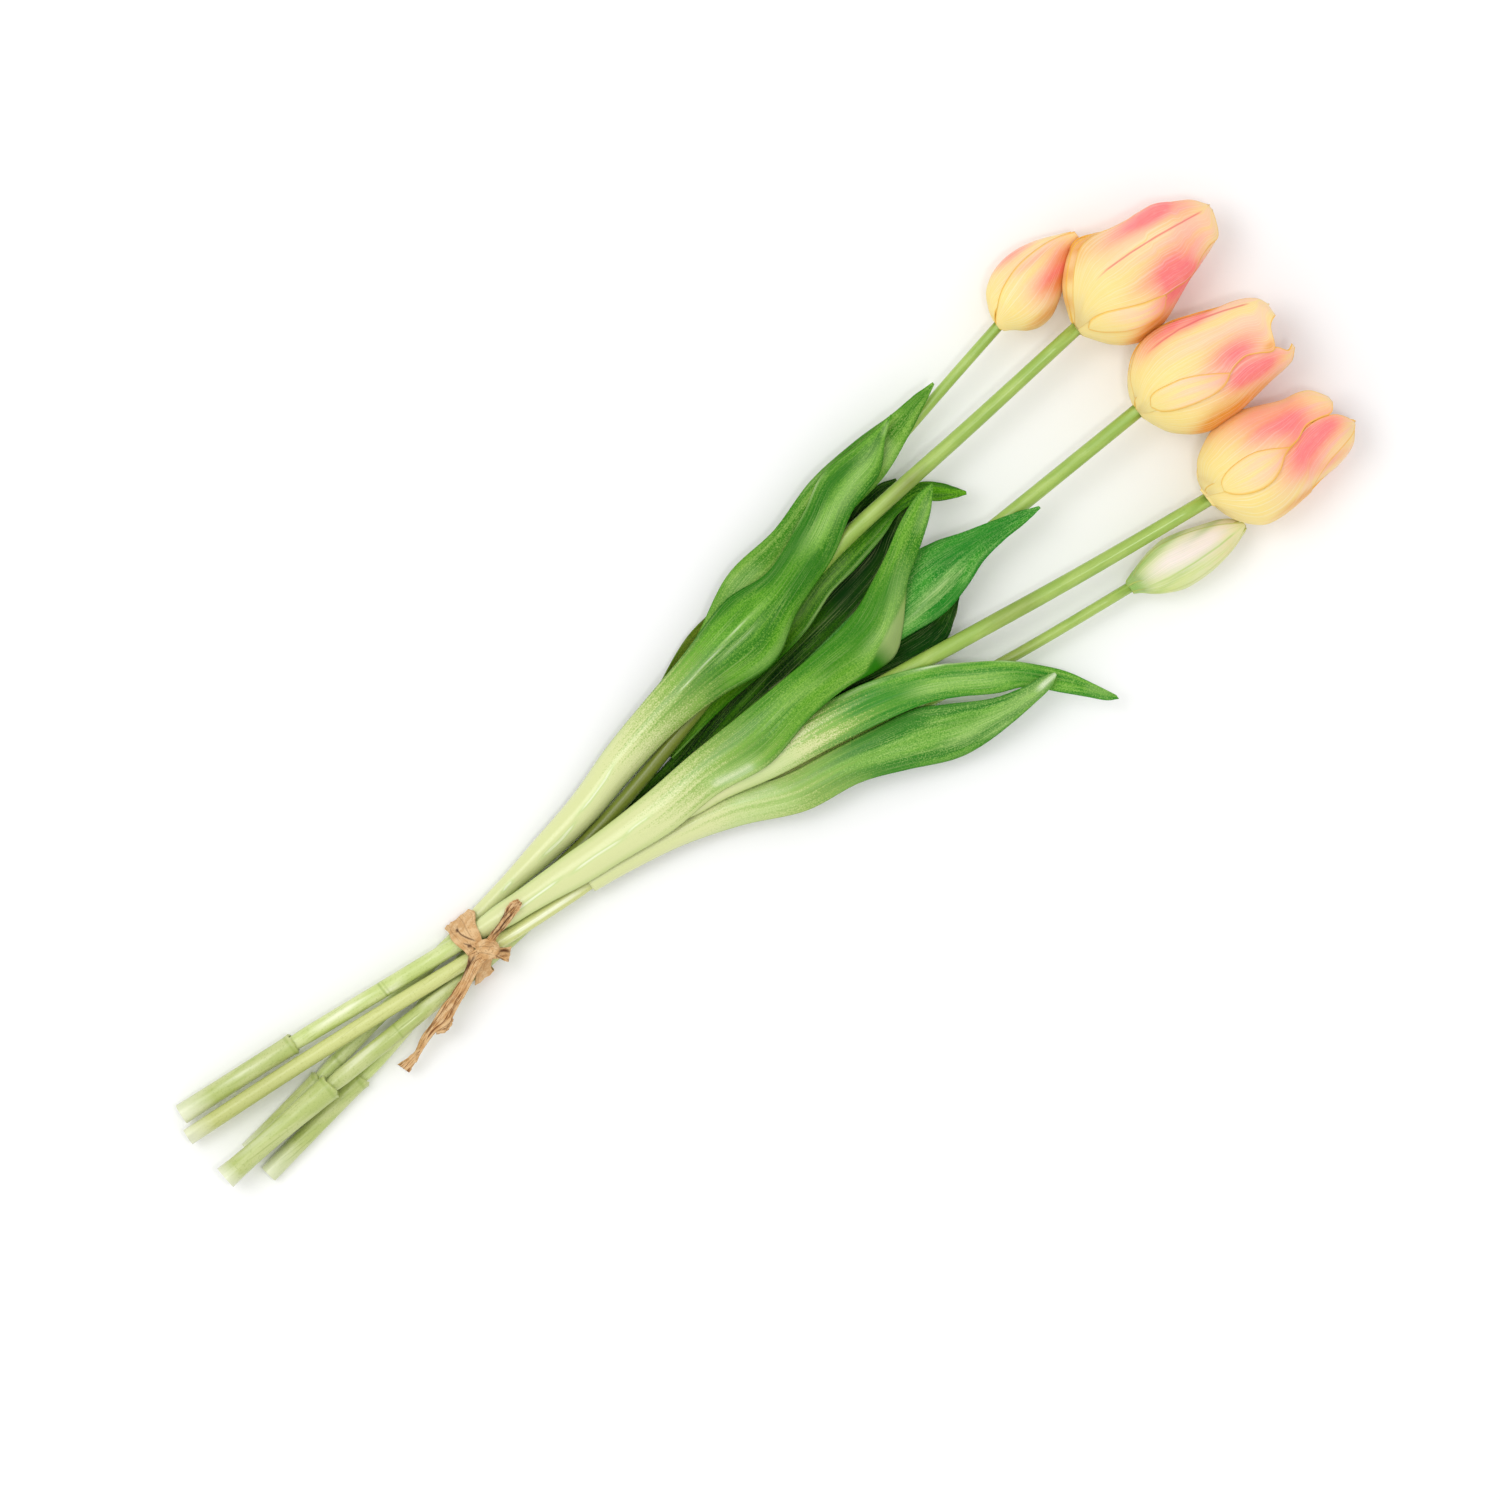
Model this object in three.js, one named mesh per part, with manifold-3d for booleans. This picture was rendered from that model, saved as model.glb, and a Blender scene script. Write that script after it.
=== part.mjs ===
// A bunch of five tulips with their leaves, tied with paper raffia and laid on its side.
// Millimetres. +X runs from the cut ends to the blooms, +Y across the bunch and +Z up.
// The origin is the middle of the bunch on the surface z = 0 that it lies on.
import * as THREE from "three";
import { mergeVertices } from "three/addons/utils/BufferGeometryUtils.js";
import Module from "manifold-3d";

const wasm = await Module();
wasm.setup();

// Driving dimensions
const LEAF_THICKNESS = 0.9;
const RAFFIA_THICKNESS = 0.9;
const SLEEVE_WALL = 0.8;
const GAP = 0.3;
const STEM_SIDES = 10;
const SLEEVE_SIDES = 12;
const LEAF_STEPS = 16;
const LEAF_STRIPS = 6;
const TAIL_STEPS = 10;
const TAIL_STRIPS = 3;
const PETAL_STEPS = 6;
const CORE_SIDES = 12;
const CORE_STEPS = 7;
const TURN_STEPS = 24;
const STEM_STEP = 22;
const RAGGED = 0.7;
const LEAST_WRAP = 2;
const DEGREE = Math.PI / 180;

const UP = new THREE.Vector3(0, 0, 1);

// Stems: points [x, y, z] from the cut end to the bloom, and radii [x, radius] along them
const STEMS = [
  {
    name: "stem_1",
    path: [
      [-221, -10.5, 3.3], [-188, -6, 3.3], [-150, -0.6, 3.5], [-115, 4.2, 4.3], [-80, 8.2, 5],
      [-50, 13.5, 6.2], [-20, 19.5, 7.8], [0, 23.5, 8.8], [60, 35.6, 11], [123, 48.2, 13.6],
      [153.2, 53.8, 15],
    ],
    radii: [[-221, 2.1], [-186, 2.1], [-184, 2.7], [-116, 2.7], [-111, 2], [154, 2]],
  },
  {
    name: "stem_2",
    path: [
      [-220.6, -20.7, 3.2], [-190, -16.7, 3.2], [-160, -11.9, 3.2], [-140, -7.3, 3.2], [-115, -2.6, 4.2],
      [-74, 0.6, 3.9], [-50, 4.2, 4.6], [-20, 11, 6.4], [0, 16, 8.4], [20, 20.8, 10.4],
      [40, 24.6, 12], [58, 27.6, 13.2], [75, 29.5, 14.2], [125, 32.8, 16.4], [173.5, 36.7, 17.9],
    ],
    radii: [[-220.6, 2.1], [-174.2, 2.1], [-172.6, 2.7], [20, 2.8], [70, 3.1], [120, 2.8], [174, 2.5]],
  },
  {
    name: "stem_3",
    path: [
      [-232.6, -12.7, 11.2], [-190, -10.4, 10.9], [-150, -9.4, 9.8], [-140, -9.3, 9], [-130, -9.3, 7.3],
      [-115, -9.5, 5.9], [-97, -7.6, 4], [-74, -5.3, 3.9], [-40, -4.2, 5.2], [0, -2.5, 8.5],
      [60, 0, 12.6], [115, 0.8, 16.4], [173.3, 1.9, 19.5],
    ],
    radii: [[-232.6, 2.6], [-184, 2.6], [-182.4, 3.3], [-150, 3.2], [-130, 2.8], [60, 2.9], [174, 2.7]],
  },
  {
    name: "stem_4",
    path: [
      [-231.3, 13.5, 5.4], [-186, 9, 7.5], [-150, 4.6, 9], [-115, 0.6, 9.9], [-85, -3, 10],
      [-60, -5.5, 10.4], [-20, -8.8, 11.4], [0, -11.3, 12], [20, -14, 12.5], [45, -17.6, 13.2],
      [85, -24, 14.4], [125, -30.4, 15.6], [174.1, -36.8, 16.2],
    ],
    radii: [[-231.3, 2.5], [-185.2, 2.5], [-183.4, 3.1], [-116, 3], [45, 3], [100, 3], [174, 2.6]],
  },
  {
    name: "stem_5",
    path: [
      [-234.2, 6, 7], [-190, 2.3, 9.1], [-150, -2, 10.8], [-130, -4.3, 11.2], [-115, -6.1, 10.9],
      [-97, -8.2, 10.2], [-74, -10, 8.2], [-40, -15, 7.6], [0, -22, 8.5], [50, -31.4, 9.2],
      [90, -38.4, 9.5], [134.1, -43.9, 10.5],
    ],
    radii: [[-234.2, 3.1], [-150, 2.9], [-115, 2.7], [-77, 2.6], [-74, 2.1], [134, 2]],
  },
];

// Sleeves on four lower ends: profile of outer radii [x, radius] from the cut end to the collar
const SLEEVES = [
  { name: "sleeve_1", stem: "stem_1", outer: [[-222, 3.3], [-196, 3.1], [-189, 3.2], [-187, 3.5]] },
  { name: "sleeve_2", stem: "stem_2", outer: [[-221, 3.3], [-190, 3.1], [-178.6, 3.3], [-175.4, 3.7]] },
  {
    name: "sleeve_3",
    stem: "stem_3",
    outer: [[-233.4, 4.2], [-222, 3.7], [-208, 3.8], [-196, 4.4], [-187.5, 4.6], [-185.2, 4.8]],
  },
  { name: "sleeve_4", stem: "stem_4", outer: [[-232, 3.5], [-205, 3.3], [-189.6, 3.4], [-186.4, 3.8]] },
];

// Leaves: sections [x, y of the upper edge, y of the lower edge, z of the rib, wrap in degrees,
// roll in degrees, lean in x of the upper edge]. A wrap over 90 clasps the stem, and a wrap
// under zero makes a trough that holds the stem from below.
const LEAVES = [
  {
    name: "leaf_1",
    ripple: 0.5,
    sections: [
      [-108.5, 8.2, 1.6, 7.8, 150], [-95, 10, 3.2, 8.3, 140], [-80, 13, 3.6, 9.8, 115],
      [-60, 17, 5.4, 11.6, 100], [-40, 23, 9.5, 13, 75], [-20, 27.5, 12.4, 14.8, 55],
      [0, 31.7, 12.6, 17, 40], [22, 37.3, 10.3, 18.4, 32], [40, 36.2, 19.4, 19.2, 32],
      [60, 43.6, 26.2, 19.6, 30], [75, 51, 34.5, 20, 27], [90, 51.3, 38.8, 20.4, 25],
      [99, 51.6, 47.2, 20.6, 20], [105.5, 52.5, 51.7, 20.6, 12],
    ],
  },
  {
    name: "leaf_2",
    ripple: 0.5,
    sections: [
      [-45, 17.7, 11.3, 9.7, 120], [-20, 24, 16, 11.9, 90], [5, 32.8, 22, 13.1, 35],
      [28, 43.6, 27, 13.8, 18], [50, 46, 31.8, 15, 16], [70, 51.5, 34.4, 15.8, 16],
      [90, 52.9, 37, 16.2, 22], [105, 52.4, 42.6, 17.2, 22], [115, 52.7, 47.2, 17.9, 18],
      [123.5, 52.4, 51.4, 18.2, 12],
    ],
  },
  {
    name: "leaf_3",
    ripple: 0.3,
    sections: [
      [-25, 13, 6.6, 2.9, -80], [0, 19.6, 9.5, 5, -48], [22, 24.6, 10.3, 6.9, -38],
      [38, 27.6, 12.5, 7.9, -30], [52, 30.2, 17.3, 8.9, -25], [65, 32, 18.8, 9.8, -22],
      [79, 31.5, 21.8, 10.6, -18], [89, 29.4, 24.4, 11.6, -10, 0, 2], [97, 28.3, 23.5, 12.4, 10, 0, 2.3],
      [102.5, 23.6, 19.4, 12.9, 14, 0, 2.4], [106.5, 19, 16.8, 13, 12, 0, 1.5],
      [109.5, 16.2, 15.2, 13, 10, 0, 0.3],
    ],
  },
  {
    name: "leaf_4",
    ripple: 0.3,
    sections: [
      [-108.5, 4.3, -4.1, 14.9, 60], [-95, 3.2, -6, 15.3, 52], [-85, 2.9, -7.5, 15.4, 48],
      [-73, 2.6, -9.6, 15.8, 45], [-60, 2, -11, 16.2, 45], [-40, 2.1, -13.4, 17.2, 42],
      [-20, 3.2, -13, 19.1, 42], [0, 3.5, -15.8, 20.6, 28], [20, 4, -12, 20.9, 28],
      [36, 4.6, -11.4, 21.5, 25], [48, 5.6, -13.2, 22, 28], [57, 8, -12.8, 22.5, 32],
      [65, 11.4, -6.4, 23, 32], [75, 16, 4, 23.6, 27], [85, 21.4, 10.4, 24.3, 24],
      [95, 25.2, 17.4, 25, 20], [102, 25.5, 24.5, 25.4, 12],
    ],
  },
  {
    name: "leaf_5",
    ripple: 0.5,
    sections: [
      [10, 2.1, -6.1, 13.4, 105], [35, 5, -8, 15.6, 65], [60, 8, -10, 17.3, 38],
      [78, 11, -12, 18.6, 30], [90, 9.5, -9.6, 19.2, 26], [100, 6, -6.2, 19.9, 22],
      [110, 2.9, -4.9, 20.6, 20], [118, 0.2, -4.8, 21.2, 16], [126, -3, -4, 21.6, 10],
    ],
  },
  {
    name: "leaf_6",
    ripple: 0.3,
    sections: [
      [15, 4, -7.6, 6.1, -55], [40, 4, -14, 7.2, -20], [60, 2, -19, 7.8, -12],
      [73, 0, -19.4, 8.5, -12], [80, -1, -15.4, 9, -10], [86, -3, -10.8, 9.3, -8],
      [91, -5.6, -6.5, 9.6, -6],
    ],
  },
  {
    name: "leaf_7",
    ripple: 0.4,
    sections: [
      [-40, -5.8, -11, 15.5, 34], [-30, -3.7, -14.2, 15.5, 57], [-18, -4.6, -16.2, 15.6, 57],
      [0, -7, -20.8, 16.9, 50], [20, -9.5, -24.4, 17.4, 44], [40, -13.4, -28.4, 18.1, 28],
      [55, -19, -32.8, 18.2, 24, 9], [65, -24, -37.8, 17.5, 22, 7], [75, -30.5, -44.2, 16.6, 22, 4],
      [85, -37.6, -49, 15.9, 20], [93, -45.7, -57.6, 15.2, 18], [99, -53.2, -64.2, 14.5, 16],
      [103.5, -61.8, -69.2, 13.8, 12], [107.3, -69.8, -71.5, 13.2, 10],
    ],
  },
  {
    name: "leaf_8",
    ripple: 0.5,
    sections: [
      [-73.5, -6.6, -13.4, 11.7, 160], [-60, -8, -15.4, 11.6, 130], [-40, -10.4, -19.6, 11.8, 90],
      [-20, -13, -26.6, 12.3, 58], [0, -21.4, -36, 13.6, 30], [20, -25.2, -39.7, 14.1, 25],
      [35, -28.2, -46, 14.7, 25, 5], [50, -31.4, -53.5, 14.2, 27, 8], [60, -37, -55.6, 14.8, 25, 8],
      [73, -44.7, -55.7, 16.2, 22, 6], [84, -48.2, -55, 17.4, 18], [91, -49.3, -54.2, 17.9, 14],
      [95.5, -50.9, -52, 18, 10],
    ],
  },
  {
    name: "leaf_9",
    ripple: 0.3,
    sections: [
      [-25, 22.4, 14.6, 4.9, -60], [0, 34, 24.5, 5, -20], [14, 37, 26, 5.2, -15],
      [32, 38.6, 30, 5.8, -12], [48, 38, 36.8, 6.4, -8],
    ],
  },
  {
    name: "leaf_10",
    ripple: 0.3,
    sections: [
      [-64, 2.6, 0.2, 1.1, -6], [-45, 4.2, 0, 1.6, -8], [-25, 6.4, 0, 1.9, -10], [-15, 10.6, 0, 2.1, -12],
      [5, 20, 1, 2.7, -14], [25, 27, 2.4, 3.6, -14], [50, 32.4, 4.5, 5.3, -13],
      [70, 33.6, 9, 7, -13], [80, 36, 16.5, 8, -12], [88, 36.2, 25, 9, -10],
      [93.5, 34.4, 32, 9.6, -8],
    ],
  },
];

// Blooms: the axis from the top of the stem to the tips, and the radius at the widest place
const BLOOMS = [
  {
    name: "bloom_1",
    axis: [[154, 54, 15], [165, 58.5, 13.2], [177, 63.3, 11.8], [193.5, 67, 11.2]],
    radius: 11.5,
    turn: -14,
    closed: true,
    innerPetals: 1,
    lobe: false,
  },
  {
    name: "bloom_2",
    axis: [[174, 36.8, 17.9], [190, 39.4, 17.8], [206, 39.6, 18], [234.3, 40, 18.4]],
    radius: 20,
    turn: 0,
    closed: false,
    innerPetals: 3,
    lobe: true,
  },
  {
    name: "bloom_3",
    axis: [[173.8, 2, 19.5], [190, -0.3, 19.6], [206, -0.8, 19.8], [229.6, -1, 20]],
    radius: 19,
    turn: 4,
    closed: false,
    innerPetals: 3,
    lobe: true,
  },
  {
    name: "bloom_4",
    axis: [[174.6, -36.9, 16.2], [190, -38.1, 16.1], [206, -38.9, 16.3], [228, -42, 16.6]],
    radius: 18.2,
    turn: -4,
    closed: false,
    innerPetals: 3,
    lobe: true,
  },
  {
    name: "bud_5",
    axis: [[134.5, -44, 10.5], [150, -47, 10.5], [164, -49.6, 10.5], [178.5, -53, 10.5]],
    radius: 8.7,
    turn: 30,
    closed: true,
    innerPetals: 0,
    lobe: false,
  },
];

// Share of the widest radius along a bloom's axis, for an open and for a closed head
const OPEN_PROFILE = [
  [0, 0.17], [0.04, 0.48], [0.1, 0.7], [0.2, 0.93], [0.3, 1], [0.4, 0.97], [0.5, 0.89], [0.6, 0.8],
  [0.7, 0.72], [0.8, 0.63], [0.9, 0.49], [1, 0.28],
];
const CLOSED_PROFILE = [
  [0, 0.2], [0.04, 0.42], [0.1, 0.64], [0.2, 0.88], [0.3, 0.98], [0.42, 1], [0.55, 0.93], [0.7, 0.76],
  [0.82, 0.54], [0.92, 0.3], [1, 0.08],
];
// Share of a petal's half width from its root to its tip
const PETAL_WIDTH = [[0, 0.55], [0.25, 0.8], [0.5, 1], [0.7, 0.98], [0.88, 0.72], [0.96, 0.42], [1, 0.12]];
// The small lobe that stands 0.5 mm proud on the front of the large heads
const FRONT_LOBE = { azimuth: -28, halfWidth: 22, sink: -0.5, root: 0.03, reach: 0.49, strips: 3 };

// The tie: its two turns, its knot, and the sections of its three tails in the leaves' form
const TURNS = [
  { x: -117, width: 6, slope: 0.38, clearance: 0.7 },
  { x: -120.6, width: 3, slope: 0.05, clearance: 0.8 },
];
const KNOT = { halfSizes: [3.6, 3.9, 2], turn: -20, place: [-114, -6, 15.6] };
const TAILS = [
  [
    [-113, -3.6, -8.2, 16, 20, 0, 1.5], [-120, -5, -9.6, 15.8, 20, 0, 1], [-130, -9, -14.8, 14.4, 20],
    [-140, -12.6, -17.6, 12.2, 20], [-148, -15.4, -18.6, 9.6, 20], [-156, -17.8, -21.4, 7.8, 20],
    [-162, -18.4, -22.2, 6.6, 15],
  ],
  [
    [-114, -4, -7.4, 16, 15, 0, 1], [-107, -2.2, -4.6, 16.8, 25], [-103, -0.3, -3.9, 17.3, 25],
    [-99, 1.3, -2.8, 17.6, 20], [-95.8, 1, -1.2, 17.9, 15],
  ],
  [[-115.5, -6.5, -9.4, 15.8, 20], [-111.5, -8.6, -12.2, 14.6, 20, -10], [-107.6, -9.8, -13, 13.4, 15, -15]],
];

const LEAF_GREEN = new THREE.MeshStandardMaterial({ color: 0x4a8f2e, roughness: 0.45, metalness: 0 });
const STEM_GREEN = new THREE.MeshStandardMaterial({ color: 0x9cbf62, roughness: 0.45, metalness: 0 });
const PALE_GREEN = new THREE.MeshStandardMaterial({ color: 0xc5d68f, roughness: 0.35, metalness: 0 });
const PEACH = new THREE.MeshStandardMaterial({ color: 0xf8c987, roughness: 0.5, metalness: 0 });
const BUD_WHITE = new THREE.MeshStandardMaterial({ color: 0xe4dcc0, roughness: 0.5, metalness: 0 });
const RAFFIA_TAN = new THREE.MeshStandardMaterial({ color: 0xc29562, roughness: 0.8, metalness: 0 });

// Value at x of a list of [x, value] points, along straight lines between them
function valueAt(points, x) {
  if (x <= points[0][0]) return points[0][1];
  for (let i = 1; i < points.length; i++) {
    if (x > points[i][0]) continue;
    const share = (x - points[i - 1][0]) / (points[i][0] - points[i - 1][0]);
    return THREE.MathUtils.lerp(points[i - 1][1], points[i][1], share);
  }
  return points[points.length - 1][1];
}

// Smooth curve through [x, y, z] points
function curveThrough(points) {
  return new THREE.CatmullRomCurve3(
    points.map((p) => new THREE.Vector3(...p)),
    false,
    "centripetal",
  );
}

// Parameter at which a curve that runs along +X reaches x
function parameterAt(curve, x) {
  let low = 0;
  let high = 1;
  for (let i = 0; i < 40; i++) {
    const middle = (low + high) / 2;
    if (curve.getPoint(middle).x < x) low = middle;
    else high = middle;
  }
  return (low + high) / 2;
}

// Adds the two triangles of a cell, always along the same diagonal
function addCell(triangles, a, b, c, d) {
  triangles.push(a, b, c, a, c, d);
}

// Makes an indexed geometry whose faces point outwards
function outwardGeometry(points, triangles) {
  let volume = 0;
  for (let i = 0; i < triangles.length; i += 3) {
    const [a, b, c] = [points[triangles[i]], points[triangles[i + 1]], points[triangles[i + 2]]];
    volume += a.dot(b.clone().cross(c)) / 6;
  }
  if (volume < 0) triangles.reverse();
  const geometry = new THREE.BufferGeometry().setFromPoints(points);
  geometry.setIndex(triangles);
  return geometry;
}

// Skin over rings of equal length: its ends are closed by fans, or it closes on itself as a loop
function skinGeometry(rings, isLoop) {
  const count = rings[0].length;
  const points = rings.flat();
  const triangles = [];
  const last = isLoop ? rings.length : rings.length - 1;
  for (let i = 0; i < last; i++) {
    const next = (i + 1) % rings.length;
    for (let j = 0; j < count; j++) {
      const k = (j + 1) % count;
      addCell(triangles, i * count + j, i * count + k, next * count + k, next * count + j);
    }
  }
  if (!isLoop) {
    for (const [ring, flip] of [[0, true], [rings.length - 1, false]]) {
      const centre = rings[ring].reduce((sum, p) => sum.add(p), new THREE.Vector3());
      points.push(centre.divideScalar(count));
      for (let j = 0; j < count; j++) {
        const a = ring * count + j;
        const b = ring * count + ((j + 1) % count);
        if (flip) triangles.push(points.length - 1, b, a);
        else triangles.push(points.length - 1, a, b);
      }
    }
  }
  return outwardGeometry(points, triangles);
}

// Thin closed sheet between two grids of points, split into triangles alike on both faces
function sheetGeometry(top, bottom) {
  const rows = top.length;
  const columns = top[0].length;
  const points = [...top.flat(), ...bottom.flat()];
  const under = rows * columns;
  const triangles = [];
  for (let i = 0; i < rows - 1; i++) {
    for (let j = 0; j < columns - 1; j++) {
      const [a, b] = [i * columns + j, i * columns + j + 1];
      const [c, d] = [b + columns, a + columns];
      triangles.push(a, b, c, a, c, d);
      triangles.push(under + a, under + c, under + b, under + a, under + d, under + c);
    }
  }
  const rim = [];
  for (let j = 0; j < columns - 1; j++) rim.push(j);
  for (let i = 0; i < rows - 1; i++) rim.push(i * columns + columns - 1);
  for (let j = columns - 1; j > 0; j--) rim.push((rows - 1) * columns + j);
  for (let i = rows - 1; i > 0; i--) rim.push(i * columns);
  rim.forEach((a, i) => {
    const b = rim[(i + 1) % rim.length];
    triangles.push(a, under + a, under + b, a, under + b, b);
  });
  return outwardGeometry(points, triangles);
}

// Closed solid of a geometry, for joining and cutting
function solidOf(geometry) {
  const bare = geometry.clone();
  bare.deleteAttribute("normal");
  bare.deleteAttribute("uv");
  const merged = mergeVertices(bare, 1e-4);
  const triVerts = new Uint32Array(merged.index.array);
  const vertProperties = merged.attributes.position.array;
  return new wasm.Manifold(new wasm.Mesh({ numProp: 3, vertProperties, triVerts }));
}

// Geometry of a joined or cut solid
function geometryOf(solid) {
  const mesh = solid.getMesh();
  const geometry = new THREE.BufferGeometry();
  geometry.setAttribute("position", new THREE.BufferAttribute(mesh.vertProperties, 3));
  geometry.setIndex(new THREE.BufferAttribute(mesh.triVerts, 1));
  return geometry;
}

// The largest body of a joined solid, without the tiny pockets and scraps that joining can leave
function mainBody(solid) {
  return solid.decompose().reduce((best, body) => (body.volume() > best.volume() ? body : best));
}

// What lies under the surface z = 0 is cut off flat
function restOnSurface(solid) {
  const size = 1000;
  const below = new THREE.BoxGeometry(size, size, size);
  below.translate(0, 0, -size / 2);
  return mainBody(solid.subtract(solidOf(below)));
}

// Centre line and cross directions of a stem at x
function stemFrame(stem, x) {
  const u = parameterAt(stem.curve, x);
  const along = stem.curve.getTangent(u).normalize();
  const side = UP.clone().cross(along).normalize();
  return { centre: stem.curve.getPoint(u), side, lift: along.clone().cross(side) };
}

// Ring of points round a stem, whose cut may be ragged by a small wave along the stem
function stemRing(stem, x, radius, sides, ragged = 0) {
  const ring = [];
  for (let j = 0; j < sides; j++) {
    const angle = (2 * Math.PI * j) / sides;
    const jag = ragged * Math.sin(3 * angle + x) * Math.cos(2 * angle);
    const { centre, side, lift } = stemFrame(stem, x + jag);
    ring.push(
      centre
        .addScaledVector(side, radius * Math.cos(angle))
        .addScaledVector(lift, radius * Math.sin(angle)),
    );
  }
  return ring;
}

// Places along x where a stem gets a ring: even steps, and the places where its radius changes
function ringPlaces(first, last, knots) {
  const leastStep = 1.5;
  const count = Math.round((last - first) / STEM_STEP);
  const places = [];
  for (let i = 0; i <= count; i++) places.push(first + ((last - first) * i) / count);
  for (const knot of knots) {
    if (places.every((x) => Math.abs(x - knot) > leastStep)) places.push(knot);
  }
  return places.sort((a, b) => a - b);
}

function makeStem(stem) {
  const first = stem.path[0][0];
  const last = stem.path[stem.path.length - 1][0];
  const places = ringPlaces(first, last, stem.radii.map((r) => r[0]));
  const rings = places.map((x) => stemRing(stem, x, valueAt(stem.radii, x), STEM_SIDES));
  return skinGeometry(rings, false);
}

// Pale sleeve round the lower end of a stem: outer skin forward, bore back
function makeSleeve(sleeve) {
  const stem = STEMS.find((s) => s.name === sleeve.stem);
  const first = sleeve.outer[0][0];
  const last = sleeve.outer[sleeve.outer.length - 1][0];
  const bore = valueAt(stem.radii, first) + GAP;
  const ring = (x, radius) => stemRing(stem, x, radius, SLEEVE_SIDES, x === first ? RAGGED : 0);
  const outside = sleeve.outer.map(([x, radius]) => ring(x, Math.max(radius, bore + SLEEVE_WALL)));
  const collarEdge = 0.6;
  const collar = ring(last + collarEdge, valueAt(sleeve.outer, last) - collarEdge);
  const inside = sleeve.outer.map(([x]) => ring(x, bore)).reverse();
  return geometryOf(restOnSurface(solidOf(skinGeometry([...outside, collar, ...inside], true))));
}

// Curves of a leaf's two edges and of how it bends
function leafCurves(sections) {
  const edge = (pick) =>
    new THREE.CatmullRomCurve3(sections.map(pick), false, "catmullrom", 0.5);
  return {
    upper: edge(([x, top, , z, , , lean = 0]) => new THREE.Vector3(x + lean, top, z)),
    lower: edge(([x, , bottom, z, , , lean = 0]) => new THREE.Vector3(x - lean, bottom, z)),
    bend: edge(([, , , , wrap, roll = 0]) => new THREE.Vector3(wrap, roll, 0)),
  };
}

// Wave of a leaf's edge at a share u of its length and v across it, four waves along the blade
function edgeWave(ripple, u, v) {
  const starts = THREE.MathUtils.smoothstep(u, 0.35, 0.6);
  const ends = THREE.MathUtils.smoothstep(u, 0.85, 1);
  const waves = 4;
  return ripple * starts * (1 - ends) * Math.abs(v) ** 3 * Math.sin(2 * Math.PI * waves * u + 2 * v);
}

// A leaf, or a flat strip of raffia, as a thin sheet through its sections
function makeBlade({ sections, ripple = 0 }, thickness, steps, strips) {
  const { upper, lower, bend } = leafCurves(sections);
  const top = [];
  const bottom = [];
  for (let i = 0; i <= steps; i++) {
    const u = i / steps;
    const [left, right, bent] = [upper.getPoint(u), lower.getPoint(u), bend.getPoint(u)];
    const roll = bent.y * DEGREE;
    const flatSide = right.clone().sub(left);
    const halfChord = flatSide.length() / 2 / Math.cos(roll);
    flatSide.normalize();
    const side = flatSide.clone().multiplyScalar(Math.cos(roll)).addScaledVector(UP, -Math.sin(roll));
    const rise = UP.clone().multiplyScalar(Math.cos(roll)).addScaledVector(flatSide, Math.sin(roll));
    const wrap = (Math.abs(bent.x) < LEAST_WRAP ? LEAST_WRAP : bent.x) * DEGREE;
    const radius = (halfChord / Math.sin(Math.min(Math.abs(wrap), Math.PI / 2))) * Math.sign(wrap);
    const rib = left.clone().add(right).multiplyScalar(0.5);
    const topRow = [];
    const bottomRow = [];
    for (let j = 0; j <= strips; j++) {
      const v = (2 * j) / strips - 1;
      const angle = v * wrap;
      const height = edgeWave(ripple, u, v) - radius * (1 - Math.cos(angle));
      const point = rib
        .clone()
        .addScaledVector(side, radius * Math.sin(angle))
        .addScaledVector(rise, height);
      const normal = rise.clone().multiplyScalar(Math.cos(angle)).addScaledVector(side, Math.sin(angle));
      topRow.push(point);
      bottomRow.push(point.clone().addScaledVector(normal, -thickness));
    }
    top.push(topRow);
    bottom.push(bottomRow);
  }
  return sheetGeometry(top, bottom);
}

// Point of a bloom at a share t of its axis, an azimuth from straight up, and a radius
function bloomPoint(curve, t, azimuth, radius) {
  const flatten = 0.95;
  const along = curve.getTangent(t).normalize();
  const side = UP.clone().cross(along).normalize();
  const lift = along.clone().cross(side);
  return curve
    .getPoint(t)
    .addScaledVector(side, radius * Math.sin(azimuth))
    .addScaledVector(lift, radius * Math.cos(azimuth) * flatten);
}

// Radius at t of a bloom's skin that is sunk by a distance, with less sinking near the stem
function bloomRadius(bloom, t, sink) {
  const least = 0.6;
  const profile = bloom.closed ? CLOSED_PROFILE : OPEN_PROFILE;
  return Math.max(bloom.radius * valueAt(profile, t) - sink * Math.min(1, 8 * t), least);
}

// Depth of a petal at t: thick where it is sunk into the core, and a thin blade at its tip
function petalDepth(bloom, t) {
  const rootDepth = bloom.radius * 0.16;
  const tipDepth = 0.9;
  return THREE.MathUtils.lerp(rootDepth, tipDepth, THREE.MathUtils.smoothstep(t, 0.55, 0.85));
}

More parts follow.
